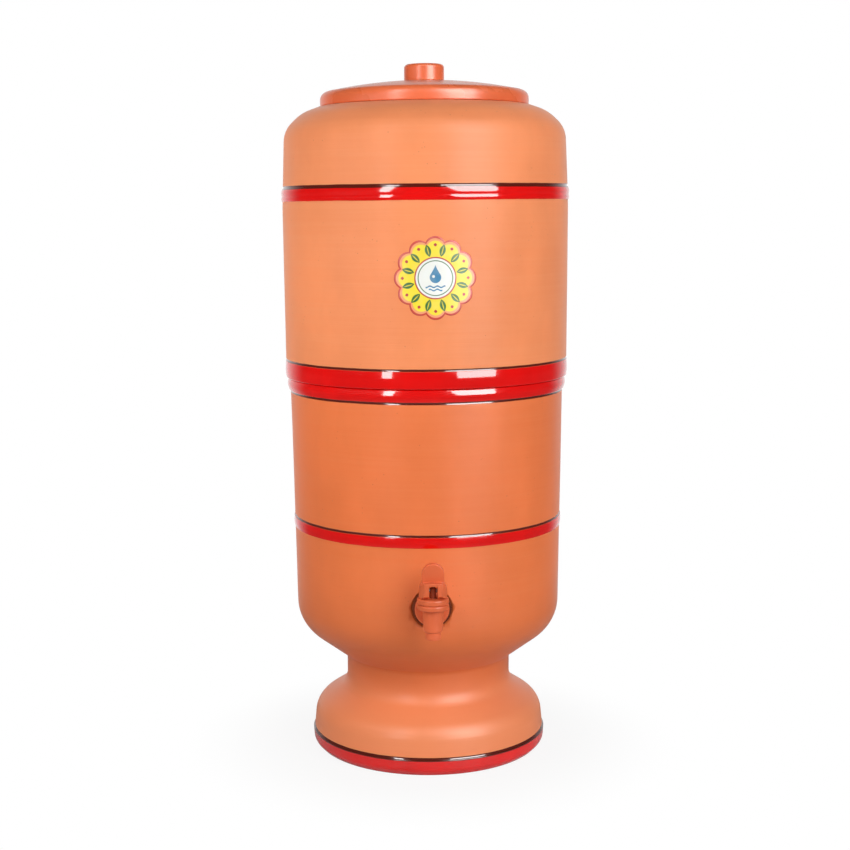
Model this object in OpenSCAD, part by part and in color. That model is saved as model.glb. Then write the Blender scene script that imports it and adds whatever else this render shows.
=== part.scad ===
// Clay water pot with tap: two terracotta chambers on a hollow foot, a lid, two filter candles
// with float valves, and a lever tap.
// Millimetres, +Z up, origin at the centre of the foot ring, tap towards -Y.

/* [Clay walls] */
// Thickness of the clay walls
wall = 9.5; // [8:0.5:11]
// Thickness of the lower chamber's floor
bowl_floor_t = 11; // [9:0.5:14]
// Thickness of the upper chamber's floor
upper_floor_t = 14; // [11:0.5:17]
// Width of the scored pinstripe beside each glazed band
pinstripe_w = 1.5; // [1:0.1:2]

/* [Foot] */
// Radius of the foot at the top of its base band
foot_r = 99.9; // [92:0.5:108]
// Radius where the foot's wall turns into its shoulder
foot_top_r = 96.6; // [90:0.5:104]
// Height of that turn above the ground
foot_h = 37; // [33:0.5:42]
// Rise of the foot's shoulder up to the neck
foot_rise = 17.5; // [14:0.5:21]
// Radius of the neck
neck_r = 69.8; // [62:0.5:76]
// Height of the neck
neck_h = 25.8; // [20:0.5:32]

/* [Lower chamber] */
// Radius where the bowl's underside meets its wall
bowl_r = 110.8; // [104:0.5:116]
// Rise of the bowl's underside from the neck to its wall
bowl_rise = 29.5; // [25:0.5:33]
// Radius that rounds the bowl's underside into its wall
bowl_round = 34.6; // [28:0.5:38]
// Height of the lower chamber's rim above the ground
rim_z = 318.7; // [290:1:345]
// Radius of the lower chamber's wall at its rim
rim_r = 114.1; // [108:0.5:118]

/* [Upper chamber] */
// Radius of the upper chamber's wall at its lower end
upper_low_r = 117.5; // [113:0.5:122]
// Radius of the upper chamber at its widest
upper_mid_r = 118.4; // [114:0.5:123]
// Height of the widest place above the seam between the chambers
upper_mid_h = 139; // [120:1:150]
// Radius where the wall turns into the shoulder
shoulder_r = 116.3; // [112:0.5:120]
// Height of that turn above the seam
shoulder_h = 205.3; // [195:0.5:220]
// Rise of the shoulder from that turn to the mouth's ledge
shoulder_rise = 16.8; // [13:0.2:20]
// Radius that rounds the wall into the shoulder
shoulder_round = 31; // [26:0.5:34]
// Depth of the spigot that centres the upper chamber in the lower one
spigot_h = 8; // [6:0.5:11]
// Clearance between the spigot and the lower rim
spigot_gap = 1.5; // [1:0.1:2.5]
// Gap left at the seam between the two clay faces
seam_gap = 0.3; // [0.2:0.1:0.5]

/* [Mouth and lid] */
// Outer radius of the mouth's collar
collar_r = 81.5; // [76:0.5:84]
// Thickness of the collar
collar_t = 8.5; // [7:0.5:10]
// Height of the collar above its ledge
collar_h = 8; // [6:0.5:10]
// Thickness of the lid
lid_t = 2.7; // [2:0.1:3.5]
// Clearance round the collar inside the lid's skirt, and round its plug ring inside the mouth
lid_gap = 2; // [1:0.1:2.5]
// Gap left where the lid lies on the collar
lid_seat_gap = 0.2; // [0.1:0.05:0.4]
// Rise of the lid's dome above its edge
dome_rise = 9.9; // [7:0.1:13]
// Depth of the ring that centres the lid in the mouth
plug_h = 9; // [6:0.5:12]
// Radius of the knob
knob_r = 16.5; // [13:0.5:20]
// Height of the knob above the dome
knob_h = 13.5; // [10:0.5:18]

/* [Glazed bands] */
// Height of the base band
base_band_h = 14.5; // [11:0.5:18]
// Centre height of the lower chamber's middle band
mid_band_z = 197; // [185:1:215]
// Height of the lower chamber's middle band
mid_band_h = 9.5; // [7:0.5:12]
// Height of the bead along the lower rim
rim_bead_h = 12.2; // [9:0.5:15]
// Height of the bead along the upper chamber's lower edge
edge_bead_h = 14.7; // [11:0.5:18]
// Centre height of the upper band above the seam
top_band_h = 151.4; // [145:1:160]
// Height of the upper band
top_band_w = 11.8; // [9:0.5:14]
// How far the upper band stands out of the wall
top_band_out = 1.8; // [1:0.1:2.5]
// How far the middle band stands out of the wall
mid_band_out = 1; // [0.6:0.1:1.5]
// How far the rim bead stands out of the wall
rim_bead_out = 2.8; // [2:0.1:3.5]
// How far the edge bead stands out of the wall
edge_bead_out = 0.8; // [0.5:0.1:1.5]

/* [Label] */
// Radius of the label over its scallops
label_r = 32; // [26:0.5:36]
// Number of scallops
label_scallops = 12; // [8:1:16]
// Height of the label's centre above the seam
label_h = 86; // [80:1:92]
// Turn of the label from the tap's side, in degrees
label_turn = 2; // [0:0.5:6]
// Thickness of the label
label_t = 0.3; // [0.2:0.05:0.5]

/* [Tap] */
// Height of the tap's inlet axis above the ground
tap_z = 144.2; // [143:0.2:155]
// Radius of the threaded shank
shank_r = 7.5; // [6.5:0.1:8.5]
// Clearance round the shank in the wall's hole
shank_gap = 0.7; // [0.4:0.1:1]
// Radius of the inlet bore
inlet_r = 4; // [3:0.1:4.5]
// Pitch of the threads on the shank and on the candle stems
pitch = 2; // [1.5:0.1:2.5]
// Radius of the flange
flange_r = 13.8; // [13:0.1:15]
// Thickness of the flange
flange_t = 3.5; // [2.5:0.1:4.5]
// Radius of the outer rubber gasket
gasket_r = 15.5; // [14.5:0.1:16.5]
// Thickness of the outer rubber gasket
gasket_t = 3; // [2:0.1:4]
// Thickness of the inner rubber gasket
inner_gasket_t = 2.5; // [2:0.1:3.5]
// Thickness of the backnut
tap_nut_t = 8; // [6:0.5:10]
// Distance across the flats of the backnut
tap_nut_flats = 23; // [21:0.5:25]
// Distance from the flange's front to the valve's axis
reach = 21.5; // [18:0.5:26]
// Radius of the barrel between flange and valve
barrel_r = 7.2; // [6.5:0.1:8]
// Radius of the valve chamber's outside
valve_r = 8.1; // [7.8:0.1:9]
// Radius of the valve chamber's bore
valve_bore_r = 6.1; // [5.8:0.05:6.4]
// Radius of the collar and of the bonnet
tap_collar_r = 12.3; // [11.5:0.1:13.5]
// Height of the collar
tap_collar_h = 4.3; // [3.5:0.1:5]
// Height of the collar's lower face above the inlet axis
tap_collar_rise = 6.4; // [5.5:0.1:7.5]
// Height of the bonnet
bonnet_h = 4.6; // [3.5:0.1:5.5]
// Depth of the seat below the inlet axis
seat_drop = 7.7; // [7:0.1:9]
// Depth of the spout's shoulder below the inlet axis
spout_drop = 11.4; // [10.5:0.1:13]
// Length of the nozzle
nozzle_h = 6.3; // [5:0.1:9]
// Radius of the nozzle
nozzle_r = 6; // [5.6:0.1:6.5]
// Radius of the outlet bore
outlet_r = 4.2; // [3.5:0.1:4.5]

/* [Lever and stem] */
// Radius of the valve stem
stem_r = 2.5; // [2.2:0.1:2.8]
// Running clearance of the stem and of the lever's pin
running_gap = 0.06; // [0.03:0.01:0.09]
// Radius of the lever's pin
pin_r = 1.25; // [1:0.05:1.5]
// Height of the pin above the bonnet
pin_h = 5.7; // [5.2:0.1:6.5]
// Opening angle of the lever, in degrees
open_deg = 40; // [30:1:45]
// Lift of the stem at that angle
stem_lift = 2.5; // [2:0.1:2.8]
// Gap between the lever's cams and the bonnet
cam_gap = 0.15; // [0.1:0.05:0.3]
// Width of the lever's hub
hub_w = 22; // [19:0.5:23]
// Reach of the hub in front of the pin
hub_front = 8.6; // [8.2:0.1:9.5]
// Reach of the hub behind the pin
hub_back = 7; // [6:0.1:8]
// Height of the hub's top above the pin
hub_top = 7; // [6:0.1:8]
// Width of the slot for the stem
slot_w = 6.6; // [6.2:0.1:7.5]
// Height of the slot's roof above the pin
slot_top = 4.6; // [4.4:0.1:5.2]
// Width of the paddle
paddle_w = 17.5; // [15:0.5:19]
// Height of the paddle's top above the pin
paddle_h = 22; // [18:0.5:28]
// Thickness of the paddle
paddle_t = 4.4; // [3.5:0.1:5]
// Forward lean of the paddle, in degrees
paddle_lean = 7; // [4:0.5:12]
// Diameter of the spring's wire
wire_d = 0.8; // [0.6:0.05:0.9]
// Number of the spring's turns
spring_turns = 4.5; // [4:0.5:5]

/* [Candles] */
// Distance of each candle from the pot's axis
candle_x = 48; // [44:0.5:52]
// Radius of the ceramic candle
candle_r = 27; // [24:0.5:29]
// Height of the ceramic candle
candle_h = 85; // [75:1:100]
// Wall of the ceramic candle
candle_wall = 7; // [5:0.5:9]
// Height of the plastic base
base_h = 14; // [11:0.5:17]
// Rim of the plastic base round the ceramic
base_rim = 2.8; // [2:0.1:3.5]
// Thickness of the base's floor
base_floor_t = 5; // [4:0.5:7]
// Radius of the threaded candle stem
candle_stem_r = 5; // [4.5:0.1:6]
// Bore of the candle stem
candle_bore_r = 2.2; // [1.5:0.1:2.8]
// Clearance round the stem in the floor's hole
stem_hole_gap = 1; // [0.6:0.1:1.5]
// Radius of the rubber washers
washer_r = 12; // [11:0.5:14]
// Thickness of the gasket on the floor
candle_gasket_t = 3; // [2:0.1:4]
// Thickness of the washer under the floor
candle_washer_t = 2.5; // [2:0.1:3.5]
// Thickness of the wing nut
wing_nut_t = 7; // [6:0.5:9]
// Length of each wing
wing_l = 8; // [6:0.5:10]
// Gap left between stacked hidden pieces
stack_gap = 0.1; // [0.05:0.05:0.2]

/* [Float valves] */
// Radius of the float valve's housing
housing_r = 8; // [7.5:0.1:9]
// Depth of the socket that screws on the candle stem
socket_h = 8.5; // [7:0.5:10]
// Length of the float valve's nozzle
float_nozzle_h = 2.7; // [2:0.1:3.5]
// Distance of the hinge pin from the candle's axis
hinge_x = 11; // [10.5:0.1:12]
// Depth of the hinge pin below the nozzle's tip
hinge_drop = 4; // [3.8:0.1:5]
// Radius of the hinge pin
float_pin_r = 1.2; // [1:0.05:1.5]
// Length of the arm from its pin to the float's centre
arm_l = 45; // [40:0.5:48]
// Width of the arm
arm_w = 8; // [7:0.5:9]
// Thickness of the arm
arm_t = 3.2; // [3:0.1:4]
// Angle that the arm hangs down by, in degrees
hang_deg = 25; // [20:1:30]
// Radius of the float
float_r = 9; // [7.5:0.5:10.5]
// Height of the float
float_h = 26; // [20:0.5:32]
// Radius of the rubber pad
pad_r = 3.6; // [3.2:0.1:3.8]
// Thickness of the rubber pad
pad_t = 2; // [1.5:0.1:2.5]

/* [Hidden] */

$fn = 96;
// Angle between neighbouring points on an outline's arcs
arc_step = 6;
// The most that a rounding takes of the sides beside it
side_share = 0.55;
// Overshoot of a cut past the face that it opens
cut = 1;
// Small edge rounding of moulded and thrown pieces
soft_edge = 1.2;

clay = [0.87, 0.47, 0.28];
glaze = [0.84, 0.08, 0.07];
terracotta_plastic = [0.82, 0.38, 0.2];
rubber = [0.12, 0.11, 0.1];
white_plastic = [0.93, 0.92, 0.88];
steel = [0.72, 0.73, 0.75];

// Heights of the clay pieces
neck_low_z = foot_h + foot_rise;
neck_top_z = neck_low_z + neck_h;
bowl_z = neck_top_z + bowl_rise;
bowl_floor_z = neck_top_z + bowl_floor_t;
seam_z = rim_z + seam_gap;
upper_mid_z = seam_z + upper_mid_h;
shoulder_z = seam_z + shoulder_h;
ledge_z = shoulder_z + shoulder_rise;
collar_z = ledge_z + collar_h;
spigot_z = seam_z - spigot_h;
upper_floor_z = spigot_z + upper_floor_t;
spigot_r = rim_r - wall - spigot_gap;

// Lid, from the collar that it lies on
mouth_r = collar_r - collar_t;
skirt_r = collar_r + lid_gap;
lid_r = skirt_r + lid_t;
lid_low_z = ledge_z + 2 * lid_seat_gap;
lid_seat_z = collar_z + lid_seat_gap;
lid_edge_z = lid_seat_z + lid_t;
lid_top_z = lid_edge_z + dome_rise;
knob_z = lid_top_z + knob_h;
// Width of the shoulder's ledge in front of the lid's skirt
ledge_w = 1.8;

// Outer faces of the wall, straight between two corners of the outline
function lower_wall_r(z) = bowl_r + (rim_r - bowl_r) * (z - bowl_z) / (rim_z - bowl_z);
function upper_wall_r(z) = z < upper_mid_z
    ? upper_low_r + (upper_mid_r - upper_low_r) * (z - seam_z) / (upper_mid_z - seam_z)
    : upper_mid_r + (shoulder_r - upper_mid_r) * (z - upper_mid_z) / (shoulder_z - upper_mid_z);

// Tap: the two flat seats ground into the curved wall, and the heights along the valve
seat_rim = 1;
seat_r = gasket_r + seat_rim;
tap_wall_r = lower_wall_r(tap_z - seat_r);
seat_y = sqrt(pow(tap_wall_r, 2) - pow(seat_r, 2));
inner_seat_r = tap_nut_flats / sqrt(3) + seat_rim;
inner_seat_y = lower_wall_r(tap_z + inner_seat_r) - wall;
through = seat_y - inner_seat_y;
shank_end = 3;
shank_l = through + inner_gasket_t + tap_nut_t + shank_end;
valve_y = seat_y + gasket_t + flange_t + reach;
tap_collar_z = tap_z + tap_collar_rise;
bonnet_z = tap_collar_z + tap_collar_h + stack_gap;
bonnet_top_z = bonnet_z + bonnet_h;
seat_z = tap_z - seat_drop;
spout_z = tap_z - spout_drop;
nozzle_z = spout_z - nozzle_h;
pin_z = bonnet_top_z + pin_h;
// Taper of the spout down to its shoulder, rubber seal and spring
spout_taper = 0.7;
seal_h = 4.4;
seal_gap = 0.1;
seal_side = 0.9;
seal_z = seat_z + seal_gap;
stem_disc_z = seal_z + seal_h;
stem_disc_t = 1.6;
barb_r = 1.6;
barb_h = 3;
spring_low_z = stem_disc_z + stem_disc_t + wire_d / 2 + stack_gap;
bonnet_plug_h = 4.6;
spring_top_z = bonnet_z - bonnet_plug_h - wire_d / 2 - stack_gap;
spring_r = (stem_r + valve_bore_r) / 2;
stem_tip_h = 2.8;
// Radius of the lever cam's base circle, which is also its lift in millimetres per radian
cam_a = stem_lift / (open_deg * PI / 180);
cam_low = pin_h - cam_gap;

// Candles, stacked up and down from the upper chamber's floor
candle_base_z = upper_floor_z + candle_gasket_t;
candle_z = candle_base_z + base_floor_t;
base_r = candle_r + base_rim;
candle_washer_z = spigot_z - candle_washer_t;
candle_nut_z = candle_washer_z - wing_nut_t;
housing_top_z = candle_nut_z - stack_gap;
socket_z = housing_top_z - socket_h;
candle_stem_z = socket_z + 2 * stack_gap;
housing_floor_t = 3;
float_nozzle_z = socket_z - housing_floor_t - float_nozzle_h;
float_pin_z = float_nozzle_z - hinge_drop;
pad_gap = 0.3;
// The arm's levels, measured from its pin while the valve is shut
pad_top = hinge_drop - pad_gap;
arm_top = pad_top - pad_t;
arm_low = arm_top - arm_t;
knuckle_r = arm_t;
ear_gap = 0.6;
ear_t = 2.4;
tail_l = 7;

// ---- Outlines ----

function unit(v) = v / norm(v);
function turned(v, a) = [v.x * cos(a) - v.y * sin(a), v.x * sin(a) + v.y * cos(a)];
function spot(p) = [p[0], p[1]];
function left_of(v) = [-v.y, v.x];

// The arc that rounds corner b between a and c with radius r, or with what their sides leave room for
function round_corner(a, b, c, r) =
    let (
        u = unit(a - b),
        w = unit(c - b),
        half = acos(u * w) / 2,
        reach = min(r / tan(half), side_share * min(norm(a - b), norm(c - b))),
        centre = b + unit(u + w) * reach / cos(half),
        start = b + u * reach - centre,
        sweep = sign(cross(-u, w)) * (180 - 2 * half),
        steps = max(2, ceil(abs(sweep) / arc_step))
    )
    [for (i = [0:steps]) centre + turned(start, sweep * i / steps)];

// A closed outline from corners [r, z] or [r, z, rounding]
function rounded(path) =
    let (n = len(path))
    [for (i = [0:n - 1])
        each (path[i][2] == undef || path[i][2] == 0)
            ? [spot(path[i])]
            : round_corner(spot(path[(i + n - 1) % n]), spot(path[i]), spot(path[(i + 1) % n]), path[i][2])
    ];

// The open path moved t to its left, with its roundings kept parallel
function parallel(path, t) =
    let (n = len(path))
    [for (i = [0:n - 1])
        let (
            p = spot(path[i]),
            before = i == 0 ? unit(spot(path[1]) - p) : unit(p - spot(path[i - 1])),
            after = i == n - 1 ? before : unit(spot(path[i + 1]) - p),
            n1 = left_of(before),
            n2 = left_of(after),
            moved = p + (n1 + n2) * t / (1 + n1 * n2),
            r = path[i][2] == undef ? 0 : path[i][2]
        )
        [moved.x, moved.y, r == 0 ? 0 : max(soft_edge, r - t * sign(cross(before, after)))]
    ];

// Where the line through a and b reaches height z
function at_height(a, b, z) = a[0] + (b[0] - a[0]) * (z - a[1]) / (b[1] - a[1]);

module revolve(path) rotate_extrude() polygon(rounded(path));

module ring(inner, outer, h) difference() {
    cylinder(r = outer, h = h);
    translate([0, 0, -cut]) cylinder(r = inner, h = h + 2 * cut);
}

// A glazed band round the wall, from low to high
module band(low_z, high_z, low_r, high_r, edge) color(glaze)
    revolve([
        [min(low_r, high_r) - wall / 2, low_z],
        [low_r, low_z, edge],
        [high_r, high_z, edge],
        [min(low_r, high_r) - wall / 2, high_z]
    ]);

module pinstripe(z, r) rotate_extrude() translate([r + pinstripe_w / 5, z]) circle(d = pinstripe_w, $fn = 24);

// A thread as rings of one pitch, from z = 0 up
module thread(r, length) {
    depth = pitch / 4;
    rings = floor(length / pitch);
    rotate_extrude() polygon(concat(
        [[0, 0]],
        [for (i = [0:rings - 1]) each [[r - depth, i * pitch], [r, (i + 0.35) * pitch], [r, (i + 0.65) * pitch]]],
        [[r - depth, rings * pitch], [r - depth, length], [0, length]]
    ));
}

// ---- Clay pieces ----

foot_round = 19;
neck_low_round = 15;
neck_top_round = 6;
widest_round = 1200;

lower_outside = [
    [foot_r, 0],
    [foot_top_r, foot_h, foot_round],
    [neck_r, neck_low_z, neck_low_round],
    [neck_r, neck_top_z, neck_top_round],
    [bowl_r, bowl_z, bowl_round],
    [rim_r, rim_z]
];
lower_inside = parallel(lower_outside, wall);

upper_outside = [
    [upper_low_r, seam_z],
    [upper_mid_r, upper_mid_z, widest_round],
    [shoulder_r, shoulder_z, shoulder_round],
    [lid_r + ledge_w, ledge_z, soft_edge],
    [collar_r, ledge_z, soft_edge],
    [collar_r, collar_z, soft_edge]
];
upper_inside = parallel(upper_outside, wall);
chamber_round = 12;
base_band_in = 2.3;
bead_edge = 3;

module lower_chamber() difference() {
    color(clay) union() {
        revolve(concat([[0, 0]], lower_outside, [[0, rim_z]]));
        band(0, base_band_h, foot_r - base_band_in, foot_r, soft_edge);
        band(mid_band_z - mid_band_h / 2, mid_band_z + mid_band_h / 2,
            lower_wall_r(mid_band_z) + mid_band_out, lower_wall_r(mid_band_z) + mid_band_out,
            mid_band_out * 0.9);
        band(rim_z - rim_bead_h, rim_z, rim_r + rim_bead_out, rim_r + rim_bead_out, bead_edge);
    }
    // Water space
    revolve([
        [0, bowl_floor_z],
        [at_height(lower_inside[3], lower_inside[4], bowl_floor_z), bowl_floor_z, chamber_round],
        lower_inside[4],
        [lower_inside[5][0], rim_z, 0],
        [lower_inside[5][0], rim_z + cut],
        [0, rim_z + cut]
    ]);
    // Hollow of the foot
    revolve([
        [0, -cut],
        [lower_inside[0][0], -cut],
        lower_inside[1],
        lower_inside[2],
        [lower_inside[2][0], bowl_floor_z - bowl_floor_t, neck_top_round],
        [0, bowl_floor_z - bowl_floor_t]
    ]);
    pinstripe(base_band_h + pinstripe_w / 2, foot_r + (foot_top_r - foot_r) * base_band_h / foot_h);
    pinstripe(mid_band_z + (mid_band_h + pinstripe_w) / 2, lower_wall_r(mid_band_z + mid_band_h / 2));
    pinstripe(rim_z - rim_bead_h - pinstripe_w / 2, lower_wall_r(rim_z - rim_bead_h));
    // Hole and flat seats of the tap
    outward(-wall - gasket_r) cylinder(r = shank_r + shank_gap, h = 2 * (wall + gasket_r));
    outward(0) cylinder(r = seat_r, h = wall);
    outward(-through - wall) cylinder(r = inner_seat_r, h = wall);
}

module upper_chamber() difference() {
    color(clay) union() {
        revolve(concat([[0, seam_z]], upper_outside, [[0, collar_z]]));
        translate([0, 0, spigot_z]) cylinder(r = spigot_r, h = upper_floor_t);
        band(seam_z, seam_z + edge_bead_h, upper_low_r + edge_bead_out, upper_low_r + edge_bead_out, bead_edge);
        band(seam_z + top_band_h - top_band_w / 2, seam_z + top_band_h + top_band_w / 2,
            upper_wall_r(seam_z + top_band_h) + top_band_out,
            upper_wall_r(seam_z + top_band_h) + top_band_out, bead_edge);
    }
    // Water space and mouth
    revolve([
        [0, upper_floor_z],
        [upper_inside[0][0], upper_floor_z, chamber_round],
        upper_inside[1],
        upper_inside[2],
        [mouth_r, at_radius(upper_inside[2], upper_inside[3], mouth_r), chamber_round / 2],
        [mouth_r, collar_z + cut],
        [0, collar_z + cut]
    ]);
    pinstripe(seam_z + edge_bead_h + pinstripe_w / 2, upper_wall_r(seam_z + edge_bead_h));
    pinstripe(seam_z + top_band_h + (top_band_w + pinstripe_w) / 2,
        upper_wall_r(seam_z + top_band_h + top_band_w / 2));
    for (side = [-1, 1])
        on_candle(side) translate([0, 0, spigot_z - cut])
            cylinder(r = candle_stem_r + stem_hole_gap, h = upper_floor_t + 2 * cut);
}

// Where the line through a and b reaches radius r
function at_radius(a, b, r) = a[1] + (b[1] - a[1]) * (r - a[0]) / (b[0] - a[0]);

// The label's outline: a disc edged with round scallops
module scalloped_disc() {
    lobe_r = label_r * sin(180 / label_scallops);
    circle(r = label_r - lobe_r);
    for (i = [0:label_scallops - 1])
        rotate(i * 360 / label_scallops) translate([label_r - lobe_r, 0]) circle(r = lobe_r, $fn = 32);
}

module label() color("gold") {
    wall_path = [upper_outside[0], upper_outside[1], upper_outside[2]];
    back = parallel(wall_path, -stack_gap);
    face = parallel(wall_path, -stack_gap - label_t);
    intersection() {
        revolve([back[0], back[1], spot(back[2]), spot(face[2]), face[1], face[0]]);
        rotate([0, 0, label_turn]) translate([0, 0, seam_z + label_h]) rotate([90, 0, 0])
            linear_extrude(height = upper_mid_r + wall) scalloped_disc();
    }
}

// ---- Lid ----

// Points along the dome, from the middle out to radius r, for a top at height z
function dome(z, r) =
    let (sphere = (pow(r, 2) + pow(dome_rise, 2)) / (2 * dome_rise), edge = asin(r / sphere), steps = 10)
    [for (i = [0:steps]) [sphere * sin(edge * i / steps), z - sphere * (1 - cos(edge * i / steps))]];

module lid() {
    edge_round = 2.5 * lid_t;
    knob_round = 3;
    plug_r = mouth_r - lid_gap;
    inside = dome(lid_top_z - lid_t, plug_r - lid_t);
    color(terracotta_plastic) difference() {
        union() {
            rotate_extrude() polygon(concat(
                dome(lid_top_z, lid_r - edge_round),
                round_corner([0, lid_edge_z], [lid_r, lid_edge_z], [lid_r, 0], edge_round),
                [[lid_r, lid_low_z], [skirt_r, lid_low_z], [skirt_r, lid_seat_z - soft_edge]],
                [[skirt_r - soft_edge, lid_seat_z], [0, lid_seat_z]]
            ));
            translate([0, 0, lid_seat_z - plug_h]) cylinder(r = plug_r, h = plug_h + soft_edge);
            revolve([
                [0, lid_seat_z],
                [knob_r, lid_seat_z],
                [knob_r, knob_z, knob_round],
                [0, knob_z]
            ]);
        }
        rotate_extrude() polygon(concat(
            [[0, lid_seat_z - plug_h - cut], [plug_r - lid_t, lid_seat_z - plug_h - cut]],
            [for (i = [0:len(inside) - 1]) inside[len(inside) - 1 - i]]
        ));
        translate([0, 0, lid_seat_z]) cylinder(r = knob_r - lid_t, h = knob_z - lid_t - lid_seat_z);
    }
}

// ---- Tap ----

// Places a piece on the tap's inlet axis, z outward from the flat seat on the wall
module outward(z) translate([0, -seat_y - z, tap_z]) rotate([90, 0, 0]) children();

module on_valve(z) translate([0, -valve_y, z]) children();

// A disc with rounded rims
module soft_disc(r, h, edge) revolve([[0, 0], [r, 0, edge], [r, h, edge], [0, h]]);

module tap_body() color(terracotta_plastic) difference() {
    union() {
        outward(gasket_t) soft_disc(flange_r, flange_t, soft_edge);
        outward(gasket_t) cylinder(r = barrel_r, h = flange_t + reach);
        outward(-shank_l) thread(shank_r, shank_l + gasket_t);
        on_valve(tap_collar_z) soft_disc(tap_collar_r, tap_collar_h, soft_edge);
        on_valve(0) revolve([
            [0, nozzle_z],
            [nozzle_r, nozzle_z, 0.6],
            [nozzle_r, spout_z, 0.3],
            [valve_r - spout_taper, spout_z, soft_edge],
            [valve_r, tap_z, 0],
            [valve_r, tap_collar_z + soft_edge],
            [0, tap_collar_z + soft_edge]
        ]);
    }
    outward(-shank_l - cut) cylinder(r = inlet_r, h = shank_l + cut + gasket_t + flange_t + reach);
    on_valve(seat_z) cylinder(r = valve_bore_r, h = bonnet_z - seat_z + cut);
    on_valve(nozzle_z - cut) cylinder(r = outlet_r, h = seat_z - nozzle_z + 2 * cut);
}

module tap_gasket_outer() color(rubber) outward(stack_gap)
    ring(shank_r + stack_gap, gasket_r, gasket_t - 2 * stack_gap);

module tap_gasket_inner() color(rubber) outward(-through - inner_gasket_t + stack_gap)
    ring(shank_r + stack_gap, tap_nut_flats / 2, inner_gasket_t - 2 * stack_gap);

module tap_nut() color(terracotta_plastic) outward(-through - inner_gasket_t - tap_nut_t) difference() {
    cylinder(r = tap_nut_flats / sqrt(3), h = tap_nut_t, $fn = 6);
    translate([0, 0, -cut]) cylinder(r = shank_r + stack_gap, h = tap_nut_t + 2 * cut);
}

module tap_bonnet() color(terracotta_plastic) difference() {
    union() {
        on_valve(bonnet_z) soft_disc(tap_collar_r, bonnet_h, soft_edge);
        on_valve(bonnet_z - bonnet_plug_h) cylinder(r = valve_bore_r - stack_gap, h = bonnet_plug_h + cut);
    }
    on_valve(bonnet_z - bonnet_plug_h - cut)
        cylinder(r = stem_r + running_gap, h = bonnet_plug_h + bonnet_h + 2 * cut);
}

module valve_stem() color(white_plastic) difference() {
    union() {
        on_valve(stem_disc_z - barb_h) cylinder(r = barb_r, h = barb_h + cut);
        on_valve(stem_disc_z) cylinder(r = valve_bore_r - seal_side, h = stem_disc_t);
        on_valve(stem_disc_z) cylinder(r = stem_r, h = pin_z + stem_tip_h - soft_edge - stem_disc_z);
        on_valve(pin_z + stem_tip_h - soft_edge) cylinder(r1 = stem_r, r2 = stem_r - soft_edge, h = soft_edge);
    }
    on_valve(pin_z) rotate([0, 90, 0])
        cylinder(r = pin_r + running_gap / 2, h = 4 * stem_r, center = true);
}

module valve_seal() color(rubber) on_valve(seal_z) difference() {
    revolve([
        [0, 0],
        [valve_bore_r - 2 * seal_side, 0, 0.5],
        [valve_bore_r - seal_side, 2 * seal_side, 0.5],
        [valve_bore_r - seal_side, seal_h - stack_gap],
        [0, seal_h - stack_gap]
    ]);
    translate([0, 0, seal_h - barb_h - stack_gap]) cylinder(r = barb_r + stack_gap / 2, h = barb_h + cut);
}

// One unbroken wire wound up the stem
module valve_spring() {
    ring_steps = 10;
    sides = 6;
    rings = ceil(spring_turns * ring_steps);
    function wire(i, k) =
        let (turn = i * 360 / ring_steps, around = k * 360 / sides, r = spring_r + wire_d / 2 * cos(around))
        [
            r * cos(turn),
            r * sin(turn),
            spring_low_z + (spring_top_z - spring_low_z) * i / rings + wire_d / 2 * sin(around)
        ];
    points = [for (i = [0:rings]) each [for (k = [0:sides - 1]) wire(i, k)]];
    skin = [for (i = [0:rings - 1]) each [for (k = [0:sides - 1])
        let (a = i * sides + k, b = i * sides + (k + 1) % sides)
        each [[a, a + sides, b], [b, a + sides, b + sides]]
    ]];
    caps = [for (k = [1:sides - 2]) each [
        [0, k, k + 1],
        [rings * sides, rings * sides + k + 1, rings * sides + k]
    ]];
    color(steel) on_valve(0) polyhedron(points = points, faces = concat(skin, caps));
}

// The cam's working curve under the hub, as [y, z] from the pin: it keeps its lowest point
// stem_lift lower at open_deg, at a steady rate, and then ends in the flat that stops it
function cam_curve() = [for (a = [0:4:open_deg])
    let (low = cam_low + cam_a * a * PI / 180)
    [-low * sin(a) - cam_a * cos(a), -low * cos(a) + cam_a * sin(a)]
];

module tap_lever() {
    curve = cam_curve();
    last = curve[len(curve) - 1];
    front_z = last.y + (hub_front + last.x) * tan(open_deg);
    color(terracotta_plastic) on_valve(pin_z) difference() {
        union() {
            intersection() {
                // Seen from the side, with the cam below
                rotate([90, 0, 90]) translate([0, 0, -hub_w / 2]) linear_extrude(height = hub_w)
                    polygon(concat(
                        [[hub_back, -cam_low]], curve, [[-hub_front, front_z], [-hub_front, hub_top]],
                        [[hub_back, hub_top]]
                    ));
                // Seen from the front, with sloping shoulders
                rotate([90, 0, 0]) translate([0, 0, -hub_w]) linear_extrude(height = 2 * hub_w)
                    polygon(rounded([
                        [-hub_w / 2, -pin_h],
                        [hub_w / 2, -pin_h],
                        [hub_w / 2, hub_top, 6],
                        [-hub_w / 2, hub_top, 6]
                    ]));
                translate([0, 0, -2 * pin_h]) cylinder(r = hub_w / 2, h = 4 * pin_h);
            }
            rotate([paddle_lean, 0, 0]) rotate([90, 0, 0]) translate([0, 0, -paddle_t / 2])
                linear_extrude(height = paddle_t) paddle();
        }
        translate([-slot_w / 2, -hub_w, -2 * pin_h]) cube([slot_w, 2 * hub_w, 2 * pin_h + slot_top]);
        rotate([0, 90, 0]) cylinder(r = pin_r + running_gap, h = 2 * hub_w, center = true);
    }
}

// The paddle's outline from the front
module paddle() {
    translate([-paddle_w / 2, slot_top]) square([paddle_w, paddle_h - paddle_w / 2 - slot_top]);
    translate([0, paddle_h - paddle_w / 2]) circle(d = paddle_w);
}

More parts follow.
